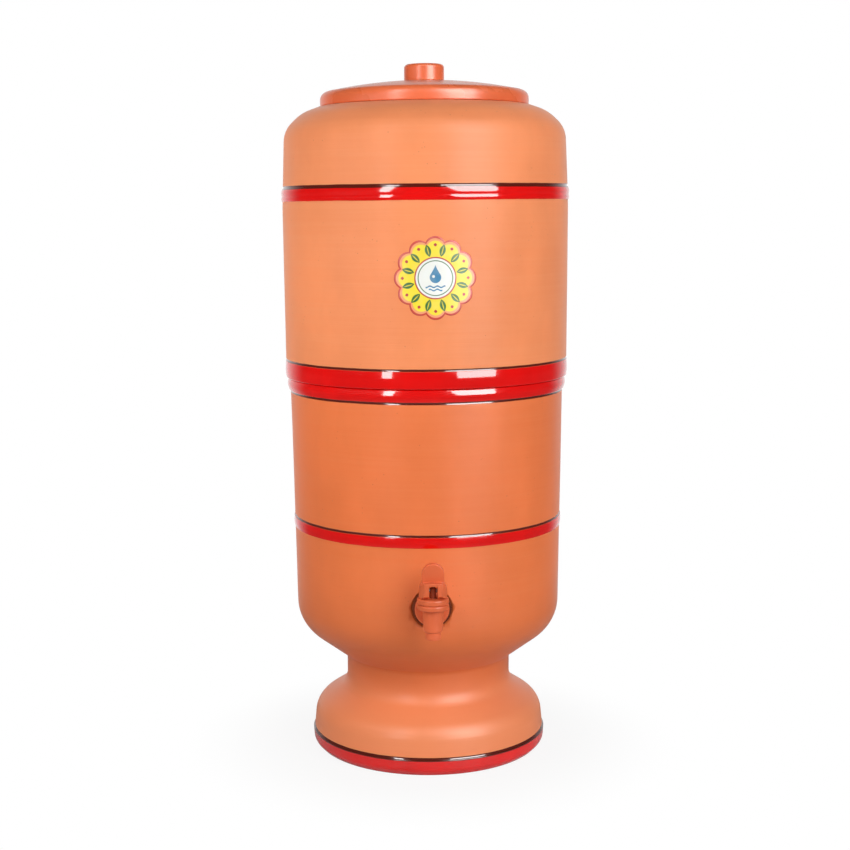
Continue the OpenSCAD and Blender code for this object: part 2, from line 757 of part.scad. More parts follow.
module lever_pin() color(steel) on_valve(pin_z) rotate([0, 90, 0])
    cylinder(r = pin_r, h = hub_w - 4 * pin_r, center = true);

// ---- Candles: side -1 is a, side 1 is b ----

module on_candle(side) mirror([side < 0 ? 1 : 0, 0, 0]) translate([candle_x, 0, 0]) children();

// A closed round-topped body, flat below
module bullet(r, h) {
    cylinder(r = r, h = h - r);
    translate([0, 0, h - r]) intersection() {
        sphere(r = r);
        translate([-r, -r, 0]) cube(2 * r);
    }
}

module candle_dome(side) color(white_plastic) on_candle(side) translate([0, 0, candle_z + stack_gap])
    difference() {
        bullet(candle_r, candle_h);
        translate([0, 0, -cut]) bullet(candle_r - candle_wall, candle_h - candle_wall + cut);
    }

module carbon_fill(side) color(rubber) on_candle(side) translate([0, 0, candle_z + stack_gap])
    bullet(candle_r - candle_wall - stack_gap, candle_h - candle_wall - 2 * stack_gap);

module candle_base(side) {
    stem_l = candle_base_z - candle_stem_z;
    color(white_plastic) on_candle(side) difference() {
        union() {
            translate([0, 0, candle_base_z]) soft_disc(base_r, base_h, soft_edge);
            translate([0, 0, candle_stem_z]) thread(candle_stem_r, stem_l + cut);
        }
        translate([0, 0, candle_z]) cylinder(r = candle_r + stack_gap, h = base_h);
        translate([0, 0, candle_stem_z - cut]) cylinder(r = candle_bore_r, h = stem_l + base_floor_t + 2 * cut);
    }
}

module candle_gasket(side) color(rubber) on_candle(side) translate([0, 0, upper_floor_z + stack_gap])
    ring(candle_stem_r + stack_gap, washer_r, candle_gasket_t - 2 * stack_gap);

module candle_washer(side) color(rubber) on_candle(side) translate([0, 0, candle_washer_z + stack_gap])
    ring(candle_stem_r + stack_gap, washer_r, candle_washer_t - 2 * stack_gap);

module candle_nut(side) {
    hub = washer_r - 3;
    color(white_plastic) on_candle(side) translate([0, 0, candle_nut_z]) difference() {
        union() {
            cylinder(r = hub, h = wing_nut_t);
            for (turn = [90, 270]) rotate(turn) translate([hub - 2, -1.5, 0]) cube([wing_l + 2, 3, wing_nut_t]);
        }
        translate([0, 0, -cut]) cylinder(r = candle_stem_r + stack_gap, h = wing_nut_t + 2 * cut);
    }
}

// ---- Float valves ----

// Places a piece at the float's hinge, at the angle that the empty pot leaves it
module on_hinge(side, tilt) on_candle(side) translate([-hinge_x, 0, float_pin_z]) rotate([0, tilt, 0]) children();

// Lowest place of the tail's top while the arm hangs, which is where its stop lies
tail_stop = tail_l * sin(hang_deg) + arm_top * cos(hang_deg) + pad_gap;
ear_out = arm_w / 2 + ear_gap + ear_t;

module float_housing(side) color(white_plastic) on_candle(side) difference() {
    union() {
        translate([0, 0, socket_z - housing_floor_t])
            cylinder(r = housing_r, h = socket_h + housing_floor_t);
        translate([0, 0, float_nozzle_z]) cylinder(r1 = pad_r - 1, r2 = pad_r, h = float_nozzle_h + cut);
        for (s = [-1, 1]) translate([-hinge_x - knuckle_r, s * (ear_out - ear_t / 2) - ear_t / 2, 0])
            translate([0, 0, float_pin_z - knuckle_r])
                cube([hinge_x, ear_t, socket_z - float_pin_z + knuckle_r]);
        // Bridge that stops the hanging arm's tail
        translate([-hinge_x - tail_l, -ear_out, float_pin_z + tail_stop])
            cube([tail_l, 2 * ear_out, socket_z - float_pin_z - tail_stop]);
    }
    translate([0, 0, socket_z]) cylinder(r = candle_stem_r + stack_gap, h = socket_h + cut);
    translate([0, 0, float_nozzle_z - cut]) cylinder(r = 1.5, h = socket_z - float_nozzle_z + 2 * cut);
    translate([-hinge_x, 0, float_pin_z]) rotate([90, 0, 0])
        cylinder(r = float_pin_r + running_gap / 2, h = 4 * ear_out, center = true);
}

module float_pin(side) color(steel) on_candle(side) translate([-hinge_x, 0, float_pin_z])
    rotate([90, 0, 0]) cylinder(r = float_pin_r, h = 2 * ear_out + 1, center = true);

spigot_d = 4;
float_peg_h = 8;

module float_arm(side) color(white_plastic) on_hinge(side, hang_deg) difference() {
    union() {
        rotate([90, 0, 0]) cylinder(r = knuckle_r, h = arm_w, center = true);
        translate([-tail_l, -arm_w / 2, arm_low]) cube([arm_l + tail_l + spigot_d, arm_w, arm_t]);
        translate([arm_l, 0, arm_low - float_peg_h]) cylinder(d = spigot_d, h = float_peg_h + cut);
    }
    rotate([90, 0, 0]) cylinder(r = float_pin_r + running_gap, h = 2 * arm_w, center = true);
}

module float_bulb(side) color("orangered") on_hinge(side, hang_deg)
    translate([arm_l, 0, arm_low - float_h - stack_gap]) difference() {
        soft_disc(float_r, float_h, float_r / 2);
        translate([0, 0, float_h - float_peg_h - stack_gap])
            cylinder(d = spigot_d + 2 * stack_gap, h = float_peg_h + cut);
    }

module float_seal(side) color(rubber) on_hinge(side, hang_deg)
    translate([hinge_x, 0, arm_top + stack_gap]) cylinder(r = pad_r, h = pad_t - stack_gap);

lid();
upper_chamber();
lower_chamber();
label();
tap_body();
tap_gasket_outer();
tap_gasket_inner();
tap_nut();
tap_bonnet();
valve_stem();
valve_seal();
valve_spring();
tap_lever();
lever_pin();
candle_dome(-1);  // candle_dome_a
candle_dome(1);  // candle_dome_b
candle_base(-1);  // candle_base_a
candle_base(1);  // candle_base_b
carbon_fill(-1);  // carbon_fill_a
carbon_fill(1);  // carbon_fill_b
candle_gasket(-1);  // candle_gasket_a
candle_gasket(1);  // candle_gasket_b
candle_washer(-1);  // candle_washer_a
candle_washer(1);  // candle_washer_b
candle_nut(-1);  // candle_nut_a
candle_nut(1);  // candle_nut_b
float_housing(-1);  // float_housing_a
float_housing(1);  // float_housing_b
float_arm(-1);  // float_arm_a
float_arm(1);  // float_arm_b
float_bulb(-1);  // float_bulb_a
float_bulb(1);  // float_bulb_b
float_pin(-1);  // float_pin_a
float_pin(1);  // float_pin_b
float_seal(-1);  // float_seal_a
float_seal(1);  // float_seal_b
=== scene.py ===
"""Clay water pot with tap: the looks of every piece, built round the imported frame."""

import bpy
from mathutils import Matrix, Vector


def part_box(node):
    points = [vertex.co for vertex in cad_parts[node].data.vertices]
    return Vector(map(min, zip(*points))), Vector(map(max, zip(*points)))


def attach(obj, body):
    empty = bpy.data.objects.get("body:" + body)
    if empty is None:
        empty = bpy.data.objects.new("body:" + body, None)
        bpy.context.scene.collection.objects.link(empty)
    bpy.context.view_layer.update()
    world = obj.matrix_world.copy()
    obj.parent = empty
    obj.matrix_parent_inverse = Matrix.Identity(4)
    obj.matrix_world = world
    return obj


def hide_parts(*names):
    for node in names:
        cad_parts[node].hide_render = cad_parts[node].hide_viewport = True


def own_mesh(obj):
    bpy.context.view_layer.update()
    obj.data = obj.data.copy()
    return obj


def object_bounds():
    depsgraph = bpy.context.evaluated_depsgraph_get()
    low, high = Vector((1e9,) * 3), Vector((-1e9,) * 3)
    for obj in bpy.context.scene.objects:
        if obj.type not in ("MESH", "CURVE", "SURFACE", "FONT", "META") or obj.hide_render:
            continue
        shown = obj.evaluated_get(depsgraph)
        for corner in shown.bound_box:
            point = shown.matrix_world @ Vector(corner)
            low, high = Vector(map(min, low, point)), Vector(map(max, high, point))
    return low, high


bl_info = {
    "name": "Clay water pot with tap",
    "version": (1, 0, 0),
    "blender": (4, 5, 0),
    "location": "3D View > Sidebar > Clay Pot",
    "description": "Builds a two-chamber clay water pot with lid, tap, candles and float valves",
    "category": "Object",
}

import math

import bmesh
import bpy
from bpy.props import FloatProperty, FloatVectorProperty, IntProperty, PointerProperty
from mathutils import Matrix, Vector, noise

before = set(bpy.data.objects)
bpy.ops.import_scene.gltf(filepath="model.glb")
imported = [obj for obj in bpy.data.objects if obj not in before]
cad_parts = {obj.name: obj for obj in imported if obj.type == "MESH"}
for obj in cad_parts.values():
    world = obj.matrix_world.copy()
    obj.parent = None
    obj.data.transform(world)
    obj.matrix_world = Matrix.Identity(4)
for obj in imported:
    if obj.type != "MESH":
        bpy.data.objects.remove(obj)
cad_low, cad_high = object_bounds()

MM = 0.001

# Where the CAD nodes lie, in metres
LOWER_HIGH, LID_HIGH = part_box("lower_chamber")[1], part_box("lid")[1]
UPPER_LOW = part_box("upper_chamber")[0]
FLANGE_LOW, FLANGE_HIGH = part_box("tap_gasket_outer")
TAP_AXIS_Z = (FLANGE_LOW.z + FLANGE_HIGH.z) / 2
STEM_LOW, STEM_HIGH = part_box("valve_stem")
SPRING_LOW, SPRING_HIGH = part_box("valve_spring")

# The seam's height: the lower face of the upper chamber's wall, above its spigot
UPPER_SEAM = LOWER_HIGH.z + 0.3 * MM


# ---------------------------------------------------------------- sizes and colours


def number(name, words, default, **more):
    return FloatProperty(name=name, description=words, default=default, **more)


def length(name, words, default):
    return number(name, words, default * MM, unit="LENGTH", precision=5)


def degrees(name, words, default):
    return number(name, words, math.radians(default), unit="ROTATION")


def colour(name, words, default):
    return FloatVectorProperty(
        name=name, description=words, default=default, subtype="COLOR", size=3, min=0, max=1
    )


class ClaySizes(bpy.types.PropertyGroup):
    wall: length("Wall", "Thickness of the clay walls", 9.5)
    foot_r: length("Foot radius", "Radius of the foot at its base band", 99.9)
    foot_top_r: length("Foot top radius", "Radius where the foot turns into its shoulder", 96.6)
    foot_h: length("Foot height", "Height of that turn", 37.0)
    foot_rise: length("Foot rise", "Rise of the foot's shoulder to the neck", 17.5)
    neck_r: length("Neck radius", "Radius of the neck", 69.8)
    neck_h: length("Neck height", "Height of the neck", 24.3)
    bowl_r: length("Bowl radius", "Radius where the bowl's underside meets its wall", 111.3)
    bowl_rise: length("Bowl rise", "Rise of the bowl's underside to its wall", 31.0)
    bowl_floor: length("Bowl floor", "Thickness of the bowl's floor", 12.5)
    rim_r: length("Rim radius", "Radius of the lower chamber's wall at its rim", 114.6)
    upper_low_r: length("Upper low radius", "Radius of the upper chamber's lower end", 117.9)
    upper_mid_r: length("Upper mid radius", "Radius of the upper chamber at its widest", 118.7)
    upper_mid_h: length("Upper mid height", "Height of the widest place above the seam", 139.0)
    shoulder_r: length("Shoulder radius", "Radius where the wall turns into the shoulder", 116.3)
    shoulder_h: length("Shoulder height", "Height of that turn above the seam", 205.3)
    shoulder_full: length("Shoulder fullness", "Swell of the shoulder above a straight slope", 3.4)
    shoulder_rise: length("Shoulder rise", "Rise of the shoulder to the mouth's ledge", 16.8)
    floor_t: length("Upper floor", "Thickness of the upper chamber's floor", 14.0)
    spigot_r: length("Spigot radius", "Radius of the spigot under the upper chamber", 103.1)
    collar_r: length("Collar radius", "Outer radius of the mouth's collar", 81.5)
    collar_t: length("Collar", "Thickness of the mouth's collar", 8.5)
    collar_h: length("Collar height", "Height of the collar above its ledge", 8.0)
    stem_hole_r: length("Stem hole radius", "Radius of the floor's candle holes", 6.0)
    candle_x: length("Candle place", "Distance of each candle from the axis", 48.0)
    unevenness: length("Unevenness", "How far the thrown wall strays from true", 0.16)


class BandSizes(bpy.types.PropertyGroup):
    base_h: length("Base band", "Height of the base band", 14.2)
    mid_z: length("Middle band place", "Centre height of the middle band", 196.9)
    mid_h: length("Middle band", "Height of the middle band", 8.5)
    mid_out: length("Middle band relief", "How far the middle band stands out", 1.0)
    rim_h: length("Rim bead", "Height of the bead along the lower rim", 10.2)
    rim_out: length("Rim bead relief", "How far the rim bead stands out", 2.8)
    edge_h: length("Edge bead", "Height of the bead along the upper wall's lower edge", 13.9)
    edge_out: length("Edge bead relief", "How far the edge bead stands out", 0.8)
    top_z: length("Top band place", "Centre height of the top band above the seam", 150.6)
    top_h: length("Top band", "Height of the top band", 10.6)
    top_out: length("Top band relief", "How far the top band stands out", 1.45)
    groove: length("Band groove", "Depth of the groove that divides the top band", 0.55)
    stripe_h: length("Pinstripe", "Height of the dark pinstripe beside each band", 1.9)
    stripe_over: length("Pinstripe overlap", "Width of the broad pinstripes on their bands", 1.0)


class LidSizes(bpy.types.PropertyGroup):
    thickness: length("Lid", "Thickness of the lid's plastic", 2.7)
    gap: length("Lid gap", "Clearance round the collar and the plug ring", 2.0)
    edge_round: length("Lid edge", "Radius that rounds the dome into the skirt", 6.8)
    dome_rise: length("Dome", "Rise of the lid's dome above its edge", 8.4)
    rim_over: length("Lid rim", "How far the rim's top lies above the lid's seat", 1.5)
    plug_h: length("Plug ring", "Depth of the ring that centres the lid", 9.0)
    knob_r: length("Knob radius", "Radius of the knob", 16.5)


class LabelSizes(bpy.types.PropertyGroup):
    radius: length("Label radius", "Radius of the label over its scallops", 32.0)
    scallops: IntProperty(name="Scallops", description="Number of scallops", default=12, min=6)
    height: length("Label height", "Height of the label's centre above the seam", 86.0)
    turn: degrees("Label turn", "Turn of the label from the tap's side", 2)
    lift: length("Label lift", "How far the label's face lies in front of the clay", 0.3)


class TapSizes(bpy.types.PropertyGroup):
    shank_r: length("Shank radius", "Radius of the threaded shank", 7.5)
    voxel: length("Moulding detail", "Size of the cells that soften a moulding's edges", 0.34)
    wire_d: length("Spring wire", "Diameter of the spring's wire", 0.8)
    spring_r: length("Spring radius", "Radius of the spring's turns", 4.3)
    spring_turns: number("Spring turns", "Number of the spring's turns", 4.5)
    candle_stem_r: length("Candle stem radius", "Radius of the threaded candle stems", 5.0)


class Finishes(bpy.types.PropertyGroup):
    clay_upper: colour("Upper clay", "Fired clay of the upper chamber", (0.90, 0.285, 0.112))
    clay_lower: colour("Lower clay", "Fired clay of the lower chamber", (0.86, 0.196, 0.055))
    # Partly painted light: this paler colour of the foot also stands in for light thrown up from the
    # floor
    clay_foot: colour("Foot clay", "Paler fired clay of the foot", (0.89, 0.270, 0.108))
    glaze: colour("Glaze", "Red of the glazed bands", (0.80, 0.004, 0.003))
    pinstripe: colour("Pinstripe", "Dark line beside the bands", (0.105, 0.011, 0.005))
    lid_plastic: colour("Lid plastic", "Plastic of the lid", (0.82, 0.160, 0.052))
    tap_plastic: colour("Tap plastic", "Plastic of the tap", (0.75, 0.142, 0.048))
    rubber: colour("Rubber", "Rubber of gaskets and seals", (0.150, 0.034, 0.014))
    white_plastic: colour("White plastic", "Plastic of the inner fittings", (0.82, 0.81, 0.77))
    candle: colour("Candle", "White ceramic of the candles", (0.83, 0.80, 0.73))
    carbon: colour("Carbon", "Carbon grains inside the candles", (0.012, 0.012, 0.013))
    steel: colour("Steel", "Stainless pins and spring", (0.60, 0.61, 0.63))
    float_plastic: colour("Float plastic", "Plastic of the floats", (0.75, 0.11, 0.03))


class StageSettings(bpy.types.PropertyGroup):
    distance: length("Camera distance", "Distance of the camera from the pot's axis", 1321.4)
    height: length("Camera height", "Height of the camera above the floor", 458.1)
    pitch: degrees("Pitch", "How far the camera looks down", 7.92)
    roll: degrees("Roll", "Turn of the camera about its view", 0.56)
    azimuth: degrees("Azimuth", "Turn of the camera round the pot, from the tap's side", -1.7)
    aside: degrees("Aside", "Turn of the camera away from the pot, to its left", 1.15)
    shift_x: number("Shift right", "Shift of the picture, in sensor widths", 0.0349)
    shift_y: number("Shift up", "Shift of the picture, in sensor widths", 0.0018)
    lens: number("Lens", "Focal length for a 36 mm wide sensor", 66.4, unit="CAMERA")
    room: number("Room light", "Strength of the room's light at eye level", 0.64, min=0)
    overhead: number("Overhead", "Strength of the room's light from above", 0.18, min=0)
    dim: number("Dim room", "Strength of the room that gloss shows in front", 0.05, min=0)
    key: number("Key light", "Power of the large light on the right", 12.8, unit="POWER")
    sheen: number("Key sheen", "Power of its tall box that gloss shows", 75.0, unit="POWER")
    strip: number("Strip light", "Power of the narrow light on the left", 20.0, unit="POWER")
    fill: number("Fill light", "Power of the soft light on the left", 1.45, unit="POWER")


class ClayPot(bpy.types.PropertyGroup):
    clay: PointerProperty(type=ClaySizes)
    bands: PointerProperty(type=BandSizes)
    lid: PointerProperty(type=LidSizes)
    label: PointerProperty(type=LabelSizes)
    tap: PointerProperty(type=TapSizes)
    finish: PointerProperty(type=Finishes)
    stage: PointerProperty(type=StageSettings)


# ---------------------------------------------------------------- outlines and meshes


def rounded(path, step=math.radians(5)):
    """The closed outline through corners (r, z) or (r, z, rounding), rounded by arcs that fit."""
    points = []
    for i, corner in enumerate(path):
        b = Vector(corner[:2])
        a, c = Vector(path[i - 1][:2]), Vector(path[(i + 1) % len(path)][:2])
        u, w = a - b, c - b
        radius = corner[2] if len(corner) > 2 else 0
        if radius == 0 or u.length < 1e-7 or w.length < 1e-7:
            points.append(b)
            continue
        room = 0.49 * min(u.length, w.length)
        u.normalize()
        w.normalize()
        half = u.angle(w) / 2
        if half > math.radians(89.8):
            points.append(b)
            continue
        reach = min(radius / math.tan(half), room)
        radius = reach * math.tan(half)
        centre = b + (u + w).normalized() * radius / math.sin(half)
        start = b + u * reach - centre
        sweep = math.copysign(math.pi - 2 * half, -u.x * w.y + u.y * w.x)
        steps = max(2, math.ceil(abs(sweep) / step))
        for k in range(steps + 1):
            points.append(centre + Matrix.Rotation(sweep * k / steps, 2) @ start)
    return points


def parallel(path, t):
    """The open path moved t to its left, with its roundings kept parallel."""
    moved = []
    for i, corner in enumerate(path):
        p = Vector(corner[:2])
        before = (Vector(path[1][:2]) - p if i == 0 else p - Vector(path[i - 1][:2])).normalized()
        after = before if i == len(path) - 1 else (Vector(path[i + 1][:2]) - p).normalized()
        n1, n2 = Vector((-before.y, before.x)), Vector((-after.y, after.x))
        q = p + (n1 + n2) * t / (1 + n1.dot(n2))
        r = corner[2] if len(corner) > 2 else 0
        bend = before.x * after.y - before.y * after.x
        moved.append((q.x, q.y, max(MM, r - math.copysign(t, bend)) if r else 0))
    return moved


def at_height(a, b, z):
    return a[0] + (b[0] - a[0]) * (z - a[1]) / (b[1] - a[1])


def refined(points, longest):
    """The closed outline with its long straight stretches divided, apart from those on the axis."""
    out = []
    for i, p in enumerate(points):
        q = points[(i + 1) % len(points)]
        out.append(p)
        if p.x > 1e-6 or q.x > 1e-6:
            parts = math.ceil((q - p).length / longest)
            out += [p.lerp(q, k / parts) for k in range(1, parts)]
    return out


def spin(name, outline, segments=192, longest=4 * MM, stray=None):
    """A closed body of revolution about Z from an outline of (r, z) that runs anticlockwise, with a
    UV map of turns by outline length. stray(direction, z) is how far the radius is from true."""
    outline = refined(outline, longest)
    bm = bmesh.new()
    uv = bm.loops.layers.uv.new("UVMap")
    rings, along, total = [], [], 0.0
    for i, p in enumerate(outline):
        total += (p - outline[i - 1]).length if i else 0
        along.append(total)
        if p.x < 1e-6:
            rings.append([bm.verts.new((0, 0, p.y))])
            continue
        ring = []
        for k in range(segments):
            turn = 2 * math.pi * k / segments
            direction = Vector((math.cos(turn), math.sin(turn), 0))
            r = p.x + (stray(direction, p.y) if stray else 0)
            ring.append(bm.verts.new((r * direction.x, r * direction.y, p.y)))
        rings.append(ring)
    for i, low in enumerate(rings):
        j = (i + 1) % len(rings)
        high = rings[j]
        if len(low) == 1 and len(high) == 1:
            continue
        high_v = along[j] if j else total
        for k in range(segments):
            n = (k + 1) % segments
            corners = []
            around = ((low, k, along[i]), (low, n, along[i]), (high, n, high_v), (high, k, high_v))
            for ring, at, v in around:
                vert = ring[0] if len(ring) == 1 else ring[at]
                if vert not in [c[0] for c in corners]:
                    corners.append((vert, (k + 1 if at == n else k) / segments, v))
            face = bm.faces.new([c[0] for c in corners])
            face.smooth = True
            for loop, c in zip(face.loops, corners):
                loop[uv].uv = (c[1], c[2] / MM)
    return mesh_object(name, bm)


def mesh_object(name, bm):
    bmesh.ops.recalc_face_normals(bm, faces=bm.faces)
    data = bpy.data.meshes.new(name)
    bm.to_mesh(data)
    bm.free()
    piece = bpy.data.objects.new(name, data)
    bpy.context.scene.collection.objects.link(piece)
    return piece


def baked(piece):
    """Turns the piece's modifiers into plain mesh and removes them."""
    bpy.context.view_layer.update()
    graph = bpy.context.evaluated_depsgraph_get()
    data = bpy.data.meshes.new_from_object(piece.evaluated_get(graph))
    old = piece.data
    piece.modifiers.clear()
    piece.data = data
    data.name = piece.name
    bpy.data.meshes.remove(old)
    return piece


def smooth(piece):
    piece.data.polygons.foreach_set("use_smooth", [True] * len(piece.data.polygons))
    piece.data.update()


def copied_node(node, name):
    """A merged copy of a CAD node's mesh, to be finished as a piece of its own."""
    bm = bmesh.new()
    bm.from_mesh(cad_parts[node].data)
    bmesh.ops.remove_doubles(bm, verts=bm.verts, dist=0.00001)
    bmesh.ops.dissolve_limit(bm, angle_limit=math.radians(0.5), verts=bm.verts, edges=bm.edges)
    return mesh_object(name, bm)


def softened(node, name, voxel, passes=5):
    """A moulding made from a CAD node: its edges and inner corners get a mould's small radii."""
    piece = copied_node(node, name)
    remesh = piece.modifiers.new("Cells", "REMESH")
    remesh.mode = "VOXEL"
    remesh.voxel_size = voxel
    relax = piece.modifiers.new("Relax", "SMOOTH")
    relax.factor = 0.5
    relax.iterations = passes
    baked(piece)
    smooth(piece)
    return piece


def bevelled(node, name, width, segments=2):
    """A CAD node's mesh with its sharp edges broken."""
    piece = copied_node(node, name)
    bevel = piece.modifiers.new("Edges", "BEVEL")
    bevel.width = width
    bevel.segments = segments
    bevel.limit_method = "ANGLE"
    bevel.angle_limit = math.radians(35)
    baked(piece)
    smooth(piece)
    return piece


def place(piece, look, body, node):
    """Gives a finished piece its look and its body, and hides the CAD node that it stands for."""
    piece.data.materials.clear()
    piece.data.materials.append(made(look))
    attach(piece, body)
    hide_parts(node)


def finished(rows, side=""):
    """Finishes CAD nodes. A row holds the node, the piece's name, softened or bevelled with its
    measures, the look and the body. side ends the names of the pieces that come in twos."""
    for node, name, finish, measures, look, body in rows:
        place(finish(node + side, name + side, *measures), look, body.format(side), node + side)


def thrown(amount):
    """How a wheel-thrown wall strays from a true circle: slow waves up and round it."""
    wave, ripple = 55 * MM, 13 * MM

    def stray(direction, z):
        at = Vector((direction.x * 1.3, direction.y * 1.3, z / wave))
        fine = Vector((direction.x * 0.6, direction.y * 0.6, z / ripple + 7))
        return amount * noise.noise(at) + 0.3 * amount * noise.noise(fine)
    return stray


def band_spans(b):
    """The lowest and highest z of each red band."""
    top = UPPER_SEAM + b.top_z
    return {
        "base": (0, b.base_h),
        "mid": (b.mid_z - b.mid_h / 2, b.mid_z + b.mid_h / 2),
        "rim": (LOWER_HIGH.z - b.rim_h, LOWER_HIGH.z),
        "edge": (UPPER_SEAM, UPPER_SEAM + b.edge_h),
        "top": (top - b.top_h / 2, top + b.top_h / 2),
    }


# ---------------------------------------------------------------- materials


class Nodes:
    """A short hand for building one node tree."""

    def __init__(self, tree):
        self.tree = tree

    def add(self, kind, inputs=None, **settings):
        node = self.tree.nodes.new(kind)
        for key, value in settings.items():
            setattr(node, key, value)
        for key, value in (inputs or {}).items():
            self.feed(node.inputs[key], value)
        return node

    def feed(self, socket, value):
        if isinstance(value, bpy.types.NodeSocket):
            self.tree.links.new(value, socket)
        else:
            socket.default_value = value

    def give(self, sockets, **values):
        for label, value in values.items():
            self.feed(sockets[label], value)

    def maths(self, operation, *values, clamp=False):
        node = self.add("ShaderNodeMath", operation=operation, use_clamp=clamp)
        for socket, value in zip(node.inputs, values):
            self.feed(socket, value)
        return node.outputs[0]

    def times(self, a, b):
        return self.maths("MULTIPLY", a, b)

    def plus(self, a, b):
        return self.maths("ADD", a, b)

    def minus(self, a, b, clamp=False):
        return self.maths("SUBTRACT", a, b, clamp=clamp)

    def far(self, x, y):
        """The distance of (x, y) from (0, 0)."""
        return self.maths("SQRT", self.plus(self.times(x, x), self.times(y, y)))

    def ramp(self, value, low, high, out_low=0.0, out_high=1.0, smooth_step=True):
        node = self.add("ShaderNodeMapRange", {0: value, 1: low, 2: high, 3: out_low, 4: out_high})
        node.interpolation_type = "SMOOTHSTEP" if smooth_step else "LINEAR"
        return node.outputs[0]

    def spread(self, value, out_low=0.0, out_high=1.0):
        """Noise, most of which lies from 0.3 to 0.7, spread out from out_low to out_high."""
        return self.ramp(value, 0.3, 0.7, out_low, out_high)

    def toned(self, value, base, darkest, lightest):
        """A colour that noise varies between two shades of it."""
        return self.mix(self.spread(value), shade(base, darkest), shade(base, lightest))

    def mix(self, factor, a, b):
        node = self.add("ShaderNodeMix", data_type="RGBA")
        for index, value in ((0, factor), (6, a), (7, b)):
            if not isinstance(value, bpy.types.NodeSocket) and index:
                value = (*value, 1)
            self.feed(node.inputs[index], value)
        return node.outputs[2]

    def blend(self, factor, a, b):
        node = self.add("ShaderNodeMix", data_type="FLOAT")
        for index, value in ((0, factor), (2, a), (3, b)):
            self.feed(node.inputs[index], value)
        return node.outputs[0]

    def noise(self, vector, scale, detail=3.0, roughness=0.5):
        inputs = {"Vector": vector, "Scale": scale, "Detail": detail, "Roughness": roughness}
        return self.add("ShaderNodeTexNoise", inputs).outputs[0]

    def stretched(self, vector, *by):
        return self.add("ShaderNodeVectorMath", {0: vector, 1: by}, operation="MULTIPLY").outputs[0]

    def position(self):
        return self.add("ShaderNodeTexCoord").outputs["Object"]

    def split(self, vector):
        return self.add("ShaderNodeSeparateXYZ", {0: vector}).outputs

    def bump(self, height, distance):
        return self.add("ShaderNodeBump", {"Height": height, "Distance": distance}).outputs[0]


def group(name, inputs, outputs):
    """A shader node group of numbers, as its helper and its sockets. inputs holds the defaults."""
    tree = bpy.data.node_groups.new(name, "ShaderNodeTree")
    for label, value in inputs.items():
        socket = tree.interface.new_socket(label, in_out="INPUT", socket_type="NodeSocketFloat")
        socket.default_value = value
    for label in outputs:
        tree.interface.new_socket(label, in_out="OUTPUT", socket_type="NodeSocketFloat")
    n = Nodes(tree)
    return n, n.add("NodeGroupInput").outputs, n.add("NodeGroupOutput").inputs


def make_clay_group():
    """Fired clay: turning lines from the wheel, slow mottling, pores and specks."""
    n, given, out = group(
        "Fired clay", {"Turning": 1.0, "Pores": 1.0}, ["Mottle", "Streak", "Speck", "Height"]
    )
    at = n.position()
    mottle = n.noise(n.stretched(at, 1, 1, 0.6), 16, 4, 0.55)
    streak = n.noise(n.stretched(at, 1.4, 1.4, 60), 5, 3, 0.6)
    lines = n.noise(n.stretched(at, 0.8, 0.8, 260), 4, 2, 0.5)
    grain = n.noise(at, 900, 2, 0.7)
    cells = n.add("ShaderNodeTexVoronoi", {"Vector": at, "Scale": 240}).outputs
    pores = n.ramp(cells["Distance"], 0.05, 0.16, 1.0, 0.0)
    rare = n.ramp(n.noise(at, 70, 1), 0.56, 0.66)
    pores = n.times(pores, rare)
    height = n.times(n.plus(streak, n.times(lines, 0.5)), given["Turning"])
    height = n.plus(height, n.times(grain, 0.22))
    height = n.minus(height, n.times(pores, given["Pores"]))
    n.give(out, Mottle=mottle, Streak=streak, Speck=pores, Height=height)
    return n.tree


def make_band_group():
    """A brushed band between two heights, with the slightly uneven edge of a hand-held brush."""
    n, given, out = group(
        "Brushed band", {"Low": 0.0, "High": 0.01, "Waver": 0.0004, "Softness": 0.0003}, ["Mask"]
    )
    at = n.position()
    z = n.split(at)[2]
    slow = n.noise(n.stretched(at, 1, 1, 0.2), 26, 2)
    quick = n.noise(n.stretched(at, 1, 1, 0.2), 160, 2)
    shift = n.times(n.minus(n.blend(0.3, slow, quick), 0.5), given["Waver"])
    z = n.plus(z, n.times(shift, 2.0))
    low, high, soft = given["Low"], given["High"], given["Softness"]
    above = n.ramp(z, n.minus(low, soft), n.plus(low, soft))
    below = n.ramp(z, n.minus(high, soft), n.plus(high, soft), 1.0, 0.0)
    n.feed(out["Mask"], n.times(above, below))
    return n.tree


def make_moulding_group():
    """Moulded plastic: slow colour drift, the mould's fine grain, and faint scratches."""
    n, given, out = group(
        "Moulded plastic", {"Grain": 1.0, "Scratches": 1.0}, ["Drift", "Wear", "Height"]
    )
    at = n.position()
    drift = n.noise(at, 28, 3)
    grain = n.noise(at, 1500, 2, 0.6)
    along = n.stretched(at, 260, 1600, 900)
    scratches = n.ramp(n.noise(along, 1, 2, 0.6), 0.68, 0.74)
    patches = n.ramp(n.noise(at, 40, 2), 0.5, 0.62)
    wear = n.times(n.times(scratches, patches), given["Scratches"])
    height = n.minus(n.times(grain, given["Grain"]), wear)
    n.give(out, Drift=drift, Wear=wear, Height=height)
    return n.tree


def make_groups():
    return {"clay": make_clay_group(), "band": make_band_group(), "moulding": make_moulding_group()}


def new_material(name):
    material = bpy.data.materials.new(name)
    material.use_nodes = True
    n = Nodes(material.node_tree)
    return material, n, material.node_tree.nodes["Principled BSDF"].inputs


def fixed(shader, values):
    """Sets sockets that hold one value all over the piece."""
    for label, value in values.items():
        shader[label].default_value = value


def shade(base, factor):
    return tuple(min(1.0, c * factor) for c in base)


